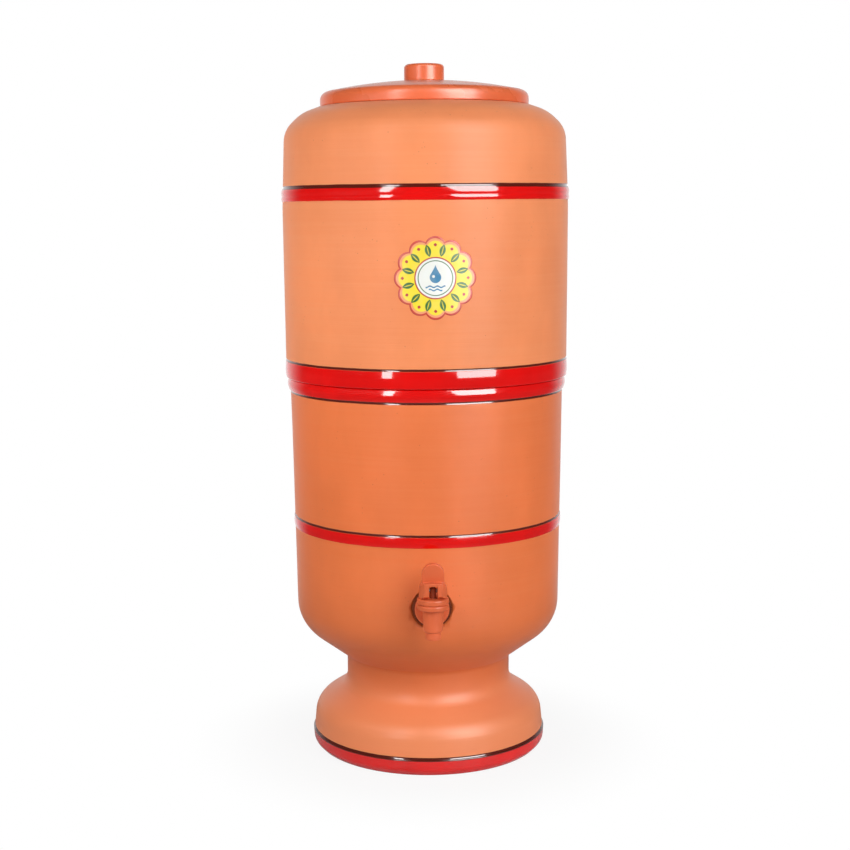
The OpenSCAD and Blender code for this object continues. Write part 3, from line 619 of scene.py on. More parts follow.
def clay_material(name, base, gloss, finish, bands, stripes, groups, foot_top=None):
    """Fired clay with its glazed bands and pinstripes, each as (lowest, highest) in metres. Below
    foot_top it turns paler, which is partly painted light, and above it painted shade darkens the
    clay under the bowl. gloss is its specular level."""
    material, n, shader = new_material(name)
    clay = n.add("ShaderNodeGroup", node_tree=groups["clay"]).outputs
    mottle = clay["Mottle"]

    def painted(spans, waver, softness):
        total = None
        for low, high in spans:
            edges = {"Low": low, "High": high, "Waver": waver, "Softness": softness}
            mask = n.add("ShaderNodeGroup", edges, node_tree=groups["band"]).outputs[0]
            total = mask if total is None else n.maths("MAXIMUM", total, mask)
        return total

    glaze = painted(bands, 0.5 * MM, 0.35 * MM)
    stripe = painted(stripes, 0.4 * MM, 0.3 * MM)
    coated = n.maths("MAXIMUM", glaze, stripe)
    body = n.mix(n.ramp(mottle, 0.3, 0.72), shade(base, 0.94), shade(base, 1.05))
    streaked = (base[0], base[1] * 1.25, base[2] * 1.5)
    body = n.mix(n.ramp(clay["Streak"], 0.35, 0.75, 0.0, 0.16), body, streaked)
    body = n.mix(n.times(clay["Speck"], 0.55), body, shade(base, 0.55))
    if foot_top:
        z = n.split(n.position())[2]
        # Painted shade: the clay under the bowl is darkened in its colour, as shade would darken it
        # there
        painted_underside_shade = n.ramp(z, foot_top + 32 * MM, foot_top + 95 * MM, 0.8, 0.0)
        body = n.mix(painted_underside_shade, body, shade(base, 0.78))
        # Partly painted light: the foot turns paler here, and this also lightens it as light thrown
        # up from the floor would
        paler = n.ramp(z, foot_top - 22 * MM, foot_top + 10 * MM, 1.0, 0.0)
        body = n.mix(paler, body, tuple(finish.clay_foot))
    body = n.mix(glaze, body, n.toned(mottle, finish.glaze, 0.9, 1.08))
    n.feed(shader["Base Color"], n.mix(stripe, body, tuple(finish.pinstripe)))
    n.feed(shader["Roughness"], n.blend(coated, n.spread(mottle, 0.36, 0.44), 0.14))
    n.feed(shader["Coat Weight"], n.times(coated, 0.5))
    n.feed(shader["Sheen Weight"], n.times(n.minus(1.0, coated), 0.10))
    fixed(shader, {
        "Specular IOR Level": gloss, "Sheen Roughness": 0.4, "Coat IOR": 1.8, "Coat Roughness": 0.05,
    })
    height = n.times(clay["Height"], n.ramp(coated, 0.0, 1.0, 1.0, 0.12))
    n.feed(shader["Normal"], n.bump(n.plus(height, n.times(coated, 0.6)), 0.12 * MM))
    return material


def moulded(n, groups, grain, scratches):
    """The sockets of the moulded plastic's group, added with these settings."""
    settings = {"Grain": grain, "Scratches": scratches}
    return n.add("ShaderNodeGroup", settings, node_tree=groups["moulding"]).outputs


def plastic_material(name, base, groups, rough, grain, scratches, gloss=0.5):
    """Moulded plastic of one colour. gloss is its specular level."""
    material, n, shader = new_material(name)
    mould = moulded(n, groups, grain, scratches)
    tone = n.toned(mould["Drift"], base, 0.93, 1.06)
    n.feed(shader["Base Color"], n.mix(n.times(mould["Wear"], 0.35), tone, shade(base, 1.35)))
    plain = n.spread(mould["Drift"], rough * 0.88, rough * 1.12)
    n.feed(shader["Roughness"], n.blend(mould["Wear"], plain, rough * 1.8))
    fixed(shader, {"Specular IOR Level": gloss})
    n.feed(shader["Normal"], n.bump(mould["Height"], 0.02 * MM))
    return material


def rubber_material(finish, groups):
    material, n, shader = new_material("Rubber")
    mould = moulded(n, groups, 2.0, 0.4)
    n.feed(shader["Base Color"], n.toned(mould["Drift"], finish.rubber, 0.8, 1.5))
    n.feed(shader["Roughness"], n.spread(mould["Drift"], 0.80, 0.92))
    fixed(shader, {"Specular IOR Level": 0.05})
    n.feed(shader["Normal"], n.bump(mould["Height"], 0.04 * MM))
    return material


def candle_material(finish):
    """Unglazed white ceramic: powdery, with faint fettling lines round the dome."""
    material, n, shader = new_material("Candle ceramic")
    at = n.position()
    lines = n.noise(n.stretched(at, 2, 2, 220), 5, 2)
    grain = n.noise(at, 1400, 2, 0.7)
    stain = n.times(n.ramp(n.noise(at, 45, 4), 0.45, 0.8), 0.4)
    n.feed(shader["Base Color"], n.mix(stain, tuple(finish.candle), shade(finish.candle, 0.82)))
    n.feed(shader["Roughness"], n.spread(grain, 0.8, 0.95))
    n.feed(shader["Normal"], n.bump(n.plus(n.times(lines, 0.6), grain), 0.05 * MM))
    return material


def carbon_material(finish):
    material, n, shader = new_material("Carbon grains")
    cells = n.add("ShaderNodeTexVoronoi", {"Vector": n.position(), "Scale": 900}).outputs
    grains = cells["Distance"]
    tone = n.mix(grains, shade(finish.carbon, 0.7), shade(finish.carbon, 3.0))
    n.feed(shader["Base Color"], tone)
    n.feed(shader["Roughness"], n.ramp(grains, 0.0, 0.6, 0.45, 0.9))
    n.feed(shader["Normal"], n.bump(grains, 0.4 * MM))
    return material


def steel_material(finish):
    material, n, shader = new_material("Stainless steel")
    drawn = n.noise(n.stretched(n.position(), 300, 3000, 3000), 1, 2)
    n.feed(shader["Base Color"], n.mix(drawn, shade(finish.steel, 0.85), shade(finish.steel, 1.1)))
    fixed(shader, {"Metallic": 1.0})
    n.feed(shader["Roughness"], n.spread(drawn, 0.22, 0.38))
    n.feed(shader["Normal"], n.bump(drawn, 0.008 * MM))
    return material


def label_material(scallops):
    """The printed label, drawn in its own UV map of millimetres from its centre: a red edge, a
    yellow ground with a ring of green petals, and a white middle with a drop over two ripples."""
    material, n, shader = new_material("Printed label")
    x, y, _ = n.split(n.add("ShaderNodeUVMap", uv_map="UVMap").outputs[0])
    r, angle = n.far(x, y), n.maths("ARCTAN2", x, y)
    from_edge = n.add("ShaderNodeAttribute", attribute_name="inset").outputs["Fac"]
    red, yellow, white = (0.50, 0.018, 0.030), (0.92, 0.74, 0.020), (0.86, 0.88, 0.84)
    green, blue = (0.022, 0.15, 0.030), (0.03, 0.22, 0.42)
    edge_red, margin = (0.62, 0.045, 0.030), (0.88, 0.34, 0.14)
    petal_r, dot_r, middle_r, rim_w = 21.6, 25.4, 15.2, 1.0
    ring_r, ring_w, bulb_r, drop_top = 12.9, 0.7, 4.4, 10.2

    def inside(distance, limit, blur=0.18):
        return n.ramp(distance, limit - blur, limit + blur, 1.0, 0.0)

    def circle(cx, cy, radius):
        return inside(n.far(n.minus(x, cx), n.minus(y, cy)), radius)

    def within(across, half_width):
        return inside(n.minus(n.maths("ABSOLUTE", across), half_width), 0.0, 0.16)

    def petals(middle, length_mm, width_mm, turn=0.0):
        """A ring of leaf-shaped petals, one to each scallop, that point outwards."""
        sector = 2 * math.pi / scallops
        turned = n.maths("MODULO", n.plus(angle, 4 * math.pi + turn), sector)
        local = n.minus(turned, sector / 2)
        across = n.times(n.maths("SINE", local), r)
        up = n.minus(n.times(n.maths("COSINE", local), r), middle)
        t = n.maths("DIVIDE", up, length_mm / 2)
        return within(across, n.times(n.minus(1.0, n.times(t, t)), width_mm / 2))

    # The drop: a disc below and a point above that narrows steadily
    bulb = circle(0.0, 0.6, bulb_r)
    rise = n.ramp(y, 2.4, drop_top, 0.0, 1.0, False)
    half = n.times(n.maths("POWER", n.minus(1.0, rise, clamp=True), 1.25), 4.05)
    span = n.times(n.ramp(y, 2.2, 2.4), n.ramp(y, drop_top - 0.2, drop_top, 1.0, 0.0))
    drop = n.maths("MAXIMUM", bulb, n.times(within(x, half), span))
    ring = n.times(inside(r, ring_r + ring_w), n.minus(1.0, inside(r, ring_r)))

    print_now = n.mix(n.ramp(from_edge, 3.1, 3.9), margin, yellow)
    for mask, ink in (
        (n.ramp(from_edge, 1.5, 1.8, 1.0, 0.0), edge_red),
        (petals(petal_r, 9.6, 4.6), green),
        (petals(petal_r, 7.2, 0.7), yellow),
        (petals(dot_r, 2.6, 2.4, math.pi / scallops), red),
        (inside(r, middle_r + rim_w), red),
        (inside(r, middle_r), white),
        (ring, green),
        (drop, blue),
        (circle(-1.5, 1.3, 1.1), white),
    ):
        print_now = n.mix(mask, print_now, ink)
    for low, half_span in ((-6.6, 7.6), (-9.0, 5.2)):
        wave = n.plus(low, n.times(n.maths("SINE", n.times(x, 1.1)), 0.55))
        off = n.maths("ABSOLUTE", n.minus(y, wave))
        ripple = n.times(inside(off, 0.55), inside(n.maths("ABSOLUTE", x), half_span, 0.2))
        print_now = n.mix(ripple, print_now, blue)
    at = n.position()
    faded = n.ramp(n.noise(at, 120, 3), 0.35, 0.75, 0.0, 0.10)
    n.feed(shader["Base Color"], n.mix(faded, print_now, (0.9, 0.8, 0.6)))
    n.feed(shader["Roughness"], n.spread(n.noise(at, 300, 2), 0.30, 0.42))
    n.feed(shader["Normal"], n.bump(n.noise(at, 500, 3), 0.02 * MM))
    return material


def make_materials(pot):
    finish, clay, b = pot.finish, pot.clay, pot.bands
    groups, spans = make_groups(), band_spans(b)
    rim_low, edge_top, top_high = spans["rim"][0], spans["edge"][1], spans["top"][1]
    mid_high, s, over, spill = spans["mid"][1], b.stripe_h, b.stripe_over, 2 * MM

    def plastic(name, base, *looks):
        return plastic_material(name + " plastic", base, groups, *looks)

    return {
        "clay_upper": clay_material(
            "Upper clay", tuple(finish.clay_upper), 0.12, finish,
            [(UPPER_SEAM - spill, edge_top), spans["top"]],
            [(edge_top, edge_top + s), (top_high - over, top_high + s)], groups,
        ),
        "clay_lower": clay_material(
            "Lower clay", tuple(finish.clay_lower), 0.26, finish,
            [(-spill, b.base_h), spans["mid"], (rim_low, LOWER_HIGH.z + spill)],
            [(b.base_h - over, b.base_h + s), (mid_high, mid_high + s), (rim_low - s, rim_low)],
            groups, clay.foot_h + clay.foot_rise + clay.neck_h / 2,
        ),
        "lid": plastic("Lid", tuple(finish.lid_plastic), 0.28, 0.6, 0.7, 0.42),
        "tap": plastic("Tap", tuple(finish.tap_plastic), 0.36, 1.0, 0.8, 0.25),
        # Painted shade: the stem is the tap's plastic at half its brightness, so that the lever's
        # slot looks shaded
        "stem": plastic("Stem", shade(finish.tap_plastic, 0.5), 0.45, 1.0, 0.8, 0.15),
        "white": plastic("White", tuple(finish.white_plastic), 0.42, 1.4, 0.8),
        "float": plastic("Float", tuple(finish.float_plastic), 0.38, 1.0, 0.8),
        "rubber": rubber_material(finish, groups),
        "candle": candle_material(finish),
        "carbon": carbon_material(finish),
        "steel": steel_material(finish),
        "label": label_material(pot.label.scallops),
    }


MATERIALS = {}


def made(look):
    if not MATERIALS:
        MATERIALS.update(make_materials(bpy.context.scene.clay_pot))
    return MATERIALS[look]


# ---------------------------------------------------------------- clay pieces


# Radii of the clay's rounded corners
FOOT_TURN, NECK_LOW_TURN, NECK_TOP_TURN, BOWL_TURN = 19 * MM, 15 * MM, 6 * MM, 34.6 * MM
WALL_TURN, SHOULDER_TURN, INNER_TURN, SWELL_TURN = 1200 * MM, 22 * MM, 31 * MM, 34 * MM
FLOOR_TURN, LIP, CREASE = 12 * MM, 1.5 * MM, 0.4 * MM

# The ledge under the lid reaches past the lid's rim
LEDGE_OVER = 1.8 * MM

# The scored lines above the bands start a little clear of them
ABOVE_BAND = 0.05 * MM

# The foot stands on a narrower edge, and rounds out to its full radius
FOOT_EDGE_IN, FOOT_CHEEK_IN, FOOT_CHEEK_Z = 5.5 * MM, 0.6 * MM, 4.8 * MM

# Room round the tap and its gaskets in the wall
BORE_ROOM, SEAT_ROOM, SEAT_SINK = 0.7 * MM, 1.0 * MM, 0.1 * MM


def scored(r, low, height):
    """A line scored in the wall from low to low + height, for the pinstripe."""
    depth, edge, bottom = 0.45 * MM, 0.2 * MM, 0.5 * MM
    return [(r, low, edge), (r - depth, low + height / 2, bottom), (r, low + height, edge)]


def bead(r, low, high, out, edge, shoulders=0.45):
    """A crowned band on the wall: it stands out most at its middle. r(z) is the wall's radius."""
    middle, crown = (low + high) / 2, 80 * MM
    return [
        (r(low), low, CREASE), (r(low) + shoulders * out, low, edge),
        (r(middle) + out, middle, crown),
        (r(high) + shoulders * out, high, edge), (r(high), high, CREASE),
    ]


def double_bead(r, low, high, out, groove):
    """A crowned band that a groove divides into a narrow roll below and a broad one above."""
    def at(share, stand, edge):
        z = low + share * (high - low)
        return (r(z) + stand, z, edge * MM)

    return [
        at(0, 0, 0.4), at(0, 0.4 * out, 0.9), at(0.2, 0.9 * out, 20), at(0.39, out - groove, 0.25),
        at(0.70, out, 40), at(1, 0.4 * out, 1.6), at(1, 0, 0.4),
    ]


def lower_outline(pot):
    c, b = pot.clay, pot.bands
    neck_low, rim = c.foot_h + c.foot_rise, LOWER_HIGH.z
    neck_top = neck_low + c.neck_h
    bowl = neck_top + c.bowl_rise

    def wall(z):
        return c.bowl_r + (c.rim_r - c.bowl_r) * (z - bowl) / (rim - bowl)

    spans = band_spans(b)
    outer = [
        (c.foot_r, 0), (c.foot_top_r, c.foot_h, FOOT_TURN), (c.neck_r, neck_low, NECK_LOW_TURN),
        (c.neck_r, neck_top, NECK_TOP_TURN), (c.bowl_r, bowl, BOWL_TURN), (c.rim_r, rim),
    ]
    inner = parallel(outer, c.wall)
    floor, base_out = neck_top + c.bowl_floor, 1.3 * MM
    mid_high, rim_low = spans["mid"][1], spans["rim"][0]
    path = [
        (inner[0][0], 0, LIP),
        (c.foot_r - FOOT_EDGE_IN, 0, 2.4 * MM),
        (c.foot_r - FOOT_CHEEK_IN, FOOT_CHEEK_Z, 7 * MM),
        (c.foot_r, b.base_h, 1.3 * MM),
        *scored(c.foot_r - base_out, b.base_h, b.stripe_h),
        *outer[1:5],
        *bead(wall, *spans["mid"], b.mid_out, 1.0 * MM),
        *scored(wall(mid_high), mid_high + ABOVE_BAND, b.stripe_h),
        *scored(wall(rim_low), rim_low - b.stripe_h, b.stripe_h),
        *bead(wall, rim_low, rim, b.rim_out, 1.6 * MM)[1:4],
        (inner[5][0], rim, 2 * MM),
        inner[4],
        (at_height(inner[3], inner[4], floor), floor, FLOOR_TURN),
        (0, floor),
        (0, neck_top),
        (inner[2][0], neck_top, NECK_TOP_TURN),
        inner[2],
        inner[1],
    ]
    return rounded(path)


def upper_outline(pot):
    c, b = pot.clay, pot.bands
    seam = UPPER_SEAM
    widest, shoulder = seam + c.upper_mid_h, seam + c.shoulder_h
    ledge = shoulder + c.shoulder_rise
    collar = ledge + c.collar_h
    ledge_r = LID_HIGH.x + LEDGE_OVER
    mouth = c.collar_r - c.collar_t

    def wall(z):
        if z < widest:
            return c.upper_low_r + (c.upper_mid_r - c.upper_low_r) * (z - seam) / (widest - seam)
        return c.upper_mid_r + (c.shoulder_r - c.upper_mid_r) * (z - widest) / (shoulder - widest)

    swell = ((c.shoulder_r + ledge_r) / 2, (shoulder + ledge) / 2 + c.shoulder_full)
    outer = [
        (c.upper_low_r, seam), (c.upper_mid_r, widest, WALL_TURN),
        (c.shoulder_r, shoulder - 2 * MM, SHOULDER_TURN), (*swell, SWELL_TURN),
        (ledge_r, ledge, 1.2 * MM),
    ]
    inner = parallel([outer[0], outer[1], (c.shoulder_r, shoulder, INNER_TURN), outer[4]], c.wall)
    spans = band_spans(b)
    edge_top, top_high = spans["edge"][1], spans["top"][1]
    floor = UPPER_LOW.z + c.floor_t
    inner_shoulder, inner_ledge = (corner[1::-1] for corner in inner[2:4])
    mouth_low = at_height(inner_shoulder, inner_ledge, mouth)
    path = [
        (0, UPPER_LOW.z),
        (c.spigot_r, UPPER_LOW.z, LIP),
        (c.spigot_r, seam, 0.8 * MM),
        *bead(wall, seam, edge_top, b.edge_out, 1.2 * MM, 0.1)[1:4],
        *scored(wall(edge_top), edge_top, b.stripe_h),
        *outer[1:2],
        *double_bead(wall, *spans["top"], b.top_out, b.groove),
        *scored(wall(top_high), top_high + ABOVE_BAND, b.stripe_h),
        *outer[2:5],
        (c.collar_r, ledge, LIP),
        (c.collar_r, collar, LIP),
        (mouth, collar, LIP),
        (mouth, mouth_low, 6 * MM),
        inner[2],
        inner[1],
        (inner[0][0], floor, FLOOR_TURN),
        (0, floor),
    ]
    return rounded(path)


def bored(piece, cutters):
    """Cuts closed bodies out of a piece, and removes them."""
    for cutter in cutters:
        cut = piece.modifiers.new("Cut", "BOOLEAN")
        cut.operation = "DIFFERENCE"
        cut.solver = "EXACT"
        cut.object = cutter
    baked(piece)
    for cutter in cutters:
        bpy.data.objects.remove(cutter)
    smooth(piece)
    return piece


def cylinder(name, radius, low, high, matrix, segments=64):
    bm = bmesh.new()
    bmesh.ops.create_cone(
        bm, cap_ends=True, segments=segments, radius1=radius, radius2=radius, depth=high - low,
        matrix=matrix @ Matrix.Translation((0, 0, (low + high) / 2)),
    )
    return mesh_object(name, bm)


def tap_axis():
    """Turns Z to the tap's inlet axis, outward from the wall."""
    return Matrix.Translation((0, 0, TAP_AXIS_Z)) @ Matrix.Rotation(math.radians(90), 4, "X")


class POT_OT_lower_chamber(bpy.types.Operator):
    """Throws the lower chamber with its foot, and cuts the tap's hole and seats"""

    bl_idname = "clay_pot.lower_chamber"
    bl_label = "Lower chamber"

    def execute(self, context):
        pot = context.scene.clay_pot
        piece = spin("lower_pot", lower_outline(pot), 180, 6 * MM, thrown(pot.clay.unevenness))
        gasket_r = (FLANGE_HIGH.x - FLANGE_LOW.x) / 2
        seat = -FLANGE_HIGH.y - SEAT_SINK
        inner_seat = -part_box("tap_gasket_inner")[0].y + SEAT_SINK
        nut_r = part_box("tap_nut")[1].x
        bore_r, reach, axis = pot.tap.shank_r + BORE_ROOM, 30 * MM, tap_axis()
        bored(piece, [
            cylinder("hole", bore_r, seat - reach, seat + reach, axis),
            cylinder("seat", gasket_r + SEAT_ROOM, seat, seat + 20 * MM, axis, 96),
            cylinder("inner_seat", nut_r + SEAT_ROOM, inner_seat - 20 * MM, inner_seat, axis, 96),
        ])
        place(piece, "clay_lower", "lower_vessel", "lower_chamber")
        return {"FINISHED"}


class POT_OT_upper_chamber(bpy.types.Operator):
    """Throws the upper chamber, and cuts the two candle holes in its floor"""

    bl_idname = "clay_pot.upper_chamber"
    bl_label = "Upper chamber"

    def execute(self, context):
        pot = context.scene.clay_pot
        c, over = pot.clay, 5 * MM
        piece = spin("upper_pot", upper_outline(pot), stray=thrown(c.unevenness))
        low, high = UPPER_LOW.z - over, UPPER_LOW.z + c.floor_t + over
        places = [Matrix.Translation((side * c.candle_x, 0, 0)) for side in (-1, 1)]
        bored(piece, [cylinder("hole", c.stem_hole_r, low, high, at) for at in places])
        place(piece, "clay_upper", "upper_vessel", "upper_chamber")
        return {"FINISHED"}


# ---------------------------------------------------------------- lid and label


class POT_OT_lid(bpy.types.Operator):
    """Moulds the domed lid with its skirt, plug ring and hollow knob"""

    bl_idname = "clay_pot.lid"
    bl_label = "Lid"

    def execute(self, context):
        pot = context.scene.clay_pot
        size, c = pot.lid, pot.clay
        rim_r, knob_top = LID_HIGH.x, LID_HIGH.z
        ledge = UPPER_SEAM + c.shoulder_h + c.shoulder_rise
        low, seat = ledge + 0.4 * MM, ledge + c.collar_h + 0.2 * MM
        edge = seat + size.thickness + size.rim_over
        top = edge + size.dome_rise
        skirt = rim_r - size.thickness
        plug = c.collar_r - c.collar_t - size.gap

        def dome(height, reach, steps=28):
            """Points on the dome from radius 0 to reach, and its slope there."""
            ball = (reach ** 2 + size.dome_rise ** 2) / (2 * size.dome_rise)
            sweep = math.asin(reach / ball)
            turns = [sweep * i / steps for i in range(steps + 1)]
            return [(ball * math.sin(a), height - ball * (1 - math.cos(a))) for a in turns], sweep

        e = size.edge_round
        over, slope = dome(top, rim_r - e)
        bend = [(math.pi / 2 - slope) * i / 10 for i in range(11)]
        turn = [(rim_r - e + e * math.cos(a), edge - e + e * math.sin(a)) for a in bend]
        foot_z = dome_height(over, size.knob_r)
        under = dome(top - size.thickness, plug - size.thickness)[0]
        bore, ceiling = size.knob_r - size.thickness, knob_top - size.thickness
        path = [
            (skirt, low, 0.6 * MM),
            (rim_r - 0.2 * MM, low, 0.8 * MM),
            *turn,
            *reversed([p for p in over[:-1] if p[0] > size.knob_r + 1.5 * MM]),
            (size.knob_r, foot_z, 1.6 * MM),
            (size.knob_r, knob_top, 3 * MM),
            (0, knob_top),
            (0, ceiling),
            (bore, ceiling, 1.5 * MM),
            (bore, foot_z - size.thickness, 1.0 * MM),
            *[p for p in under if p[0] > size.knob_r],
            (plug - size.thickness, seat - size.plug_h, 0.6 * MM),
            (plug, seat - size.plug_h, 0.9 * MM),
            (plug, seat, 0.8 * MM),
            (skirt, seat, 1.2 * MM),
        ]
        piece = spin("lid_shell", rounded(path), longest=3 * MM)
        place(piece, "lid", "lid", "lid")
        return {"FINISHED"}


def dome_height(points, r):
    """Height of a dome's points at radius r."""
    for (r0, z0), (r1, z1) in zip(points, points[1:]):
        if r0 <= r <= r1:
            return z0 + (z1 - z0) * (r - r0) / (r1 - r0)
    return points[-1][1]


class POT_OT_label(bpy.types.Operator):
    """Wraps the scalloped label round the upper chamber"""

    bl_idname = "clay_pot.label"
    bl_label = "Label"

    def execute(self, context):
        pot = context.scene.clay_pot
        size, c = pot.label, pot.clay
        lobe = size.radius * math.sin(math.pi / size.scallops)
        middle = size.radius - lobe
        sector = 2 * math.pi / size.scallops
        spokes, steps = 24 * size.scallops, 40
        # The rings crowd to the edge, which lies lower than the face, and the back lies on the clay
        crowd, edge_share, behind = 0.8, 0.6, 0.02 * MM
        stray = thrown(c.unevenness)

        def reach(turn):
            """The outline's radius: the far side of the scallop that this direction meets."""
            off = (turn + sector / 2) % sector - sector / 2
            aside = middle * math.sin(off)
            return middle * math.cos(off) + math.sqrt(max(0, lobe ** 2 - aside ** 2))

        bm = bmesh.new()
        uv = bm.loops.layers.uv.new("UVMap")
        inset = bm.verts.layers.float.new("inset")
        at = {}

        def point(across, up, edge_gap, lift):
            z = UPPER_SEAM + size.height + up
            share = (z - UPPER_SEAM) / c.upper_mid_h
            base = c.upper_low_r + (c.upper_mid_r - c.upper_low_r) * share
            turn = size.turn + across / base
            flat = Vector((math.sin(turn), -math.cos(turn), 0))
            r = base + stray(flat, z) + lift
            vert = bm.verts.new((flat.x * r, flat.y * r, z))
            vert[inset] = edge_gap / MM
            at[vert] = (across / MM, up / MM)
            return vert

        centre = point(0, 0, size.radius, size.lift)
        rings = []
        for i in range(1, steps + 1):
            share = (i / steps) ** crowd
            lift = size.lift * (1.0 if i < steps else edge_share)
            ring = []
            for k in range(spokes):
                turn = 2 * math.pi * k / spokes
                r = reach(turn) * share
                ring.append(point(r * math.sin(turn), r * math.cos(turn), reach(turn) - r, lift))
            rings.append(ring)
        skirt = [point(*(v * MM for v in at[vert]), 0, behind) for vert in rings[-1]]
        rings.append(skirt)
        for k in range(spokes):
            n = (k + 1) % spokes
            bm.faces.new((centre, rings[0][n], rings[0][k]))
            for low, high in zip(rings, rings[1:]):
                bm.faces.new((low[k], low[n], high[n], high[k]))
        bm.faces.new(skirt)
        for face in bm.faces:
            face.smooth = len(face.verts) < 5
            for loop in face.loops:
                loop[uv].uv = at[loop.vert]
        piece = mesh_object("label_print", bm)
        place(piece, "label", "upper_vessel", "label")
        return {"FINISHED"}


# ---------------------------------------------------------------- tap


RING_ROOM = 0.1 * MM


def soft_ring(name, inner, outer, low, high, edge, matrix):
    """A ring about Z with rounded edges, moved by the matrix to where it lies."""
    corners = ((outer, low), (outer, high), (inner, high), (inner, low))
    ring = spin(name, rounded([(*corner, edge) for corner in corners]), 96, 2 * MM)
    ring.data.transform(matrix)
    return ring


class POT_OT_tap(bpy.types.Operator):
    """Moulds the tap's body, bonnet and backnut, and lays the two gaskets on the wall"""

    bl_idname = "clay_pot.tap"
    bl_label = "Tap"

    def execute(self, context):
        size = context.scene.clay_pot.tap
        finished((
            ("tap_body", "tap_casting", softened, (size.voxel,), "tap", "lower_vessel"),
            ("tap_bonnet", "tap_cap", softened, (size.voxel, 4), "tap", "lower_vessel"),
            ("tap_nut", "tap_backnut", bevelled, (0.5 * MM,), "tap", "lower_vessel"),
        ))
        gaskets = {"tap_gasket_outer": "gasket_outside", "tap_gasket_inner": "gasket_inside"}
        bore = size.shank_r + RING_ROOM
        for node, name in gaskets.items():
            low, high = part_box(node)
            ring = soft_ring(name, bore, high.x, -high.y, -low.y, 0.8 * MM, tap_axis())
            place(ring, "rubber", "lower_vessel", node)
        return {"FINISHED"}


class POT_OT_lever(bpy.types.Operator):
    """Moulds the lever, and finishes its pin, the valve's stem and the rubber plug"""

    bl_idname = "clay_pot.lever"
    bl_label = "Lever and stem"

    def execute(self, context):
        cell = context.scene.clay_pot.tap.voxel * 0.85
        finished((
            ("tap_lever", "lever_paddle", softened, (cell, 6), "tap", "tap_lever"),
            ("valve_stem", "pull_stem", bevelled, (0.2 * MM,), "stem", "valve_stem"),
            ("valve_seal", "rubber_plug", bevelled, (0.2 * MM,), "rubber", "valve_stem"),
            ("lever_pin", "cross_pin", bevelled, (0.25 * MM,), "steel", "valve_stem"),
        ))
        return {"FINISHED"}


def winding_tree():
    """A wire wound round Z as a helix: its radius, height, turns and thickness are its inputs."""
    tree = bpy.data.node_groups.new("Winding", "GeometryNodeTree")
    sockets = {}

    def socket(label, kind, value=None, way="INPUT"):
        new = tree.interface.new_socket(label, in_out=way, socket_type="NodeSocket" + kind)
        if value is not None:
            new.default_value = value
        sockets[label] = new.identifier

    socket("Geometry", "Geometry")
    for label, value in (
        ("Turns", 4.5), ("Radius", 4.3 * MM), ("Height", 7 * MM), ("Low", 0.0), ("Wire", 0.4 * MM)
    ):
        socket(label, "Float", value)
    socket("Steps per turn", "Int", 32)
    socket("Sides", "Int", 12)
    socket("Material", "Material")
    socket("Geometry", "Geometry", way="OUTPUT")
    n = Nodes(tree)
    given = n.add("NodeGroupInput").outputs
    spiral = n.add("GeometryNodeCurveSpiral", {
        "Resolution": given["Steps per turn"], "Rotations": given["Turns"], "Reverse": False,
        "Start Radius": given["Radius"], "End Radius": given["Radius"], "Height": given["Height"],
    })
    profile = n.add(
        "GeometryNodeCurvePrimitiveCircle", {"Resolution": given["Sides"], "Radius": given["Wire"]}
    )
    wire = n.add("GeometryNodeCurveToMesh", {
        "Curve": spiral.outputs[0], "Profile Curve": profile.outputs[0], "Fill Caps": True,
    })
    offset = n.add("ShaderNodeCombineXYZ", {"Z": given["Low"]}).outputs[0]
    piece = wire.outputs[0]
    for kind, inputs in (
        ("Transform", {"Translation": offset}), ("RealizeInstances", {}),
        ("SetMaterial", {"Material": given["Material"]}),
    ):
        piece = n.add("GeometryNode" + kind, {"Geometry": piece, **inputs}).outputs[0]
    n.add("NodeGroupOutput", {"Geometry": piece})
    return tree, sockets


def wound(name, **values):
    """A steel piece made by the winding tree with these values."""
    tree, sockets = winding_tree()
    piece = mesh_object(name, bmesh.new())
    modifier = piece.modifiers.new("Winding", "NODES")
    modifier.node_group = tree
    for label, value in {**values, "Material": made("steel")}.items():
        modifier[sockets[label]] = value
    baked(piece)
    smooth(piece)
    return piece


class POT_OT_spring(bpy.types.Operator):
    """Winds the valve's spring"""

    bl_idname = "clay_pot.spring"
    bl_label = "Valve spring"

    def execute(self, context):
        size = context.scene.clay_pot.tap
        wire = size.wire_d / 2
        low, high = SPRING_LOW.z + wire, SPRING_HIGH.z - wire
        spring = wound(
            "wound_spring", Turns=size.spring_turns, Radius=size.spring_r, Height=high - low,
            Low=low, Wire=wire,
        )
        centre = (STEM_LOW + STEM_HIGH) / 2
        spring.data.transform(Matrix.Translation((centre.x, centre.y, 0)))
        place(spring, "steel", "lower_vessel", "valve_spring")
        # The stem's head presses the spring's lower end up as the lever lifts it
        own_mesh(spring)
        return {"FINISHED"}


# ---------------------------------------------------------------- candles and float valves


CANDLE_PARTS = (
    ("candle_base_", "candle_foot_", bevelled, (0.25 * MM,), "white", "upper_vessel"),
    ("candle_nut_", "wing_nut_", bevelled, (0.5 * MM, 3), "white", "upper_vessel"),
)
FLOAT_VALVE_PARTS = (
    ("float_housing_", "valve_housing_", bevelled, (0.4 * MM,), "white", "upper_vessel"),
    ("float_arm_", "arm_", bevelled, (0.4 * MM,), "white", "float_{}"),
    ("float_bulb_", "bulb_", softened, (0.5 * MM, 6), "float", "float_{}"),
    ("float_seal_", "pad_", bevelled, (0.3 * MM,), "rubber", "float_{}"),
    ("float_pin_", "hinge_pin_", bevelled, (0.25 * MM,), "steel", "upper_vessel"),
)


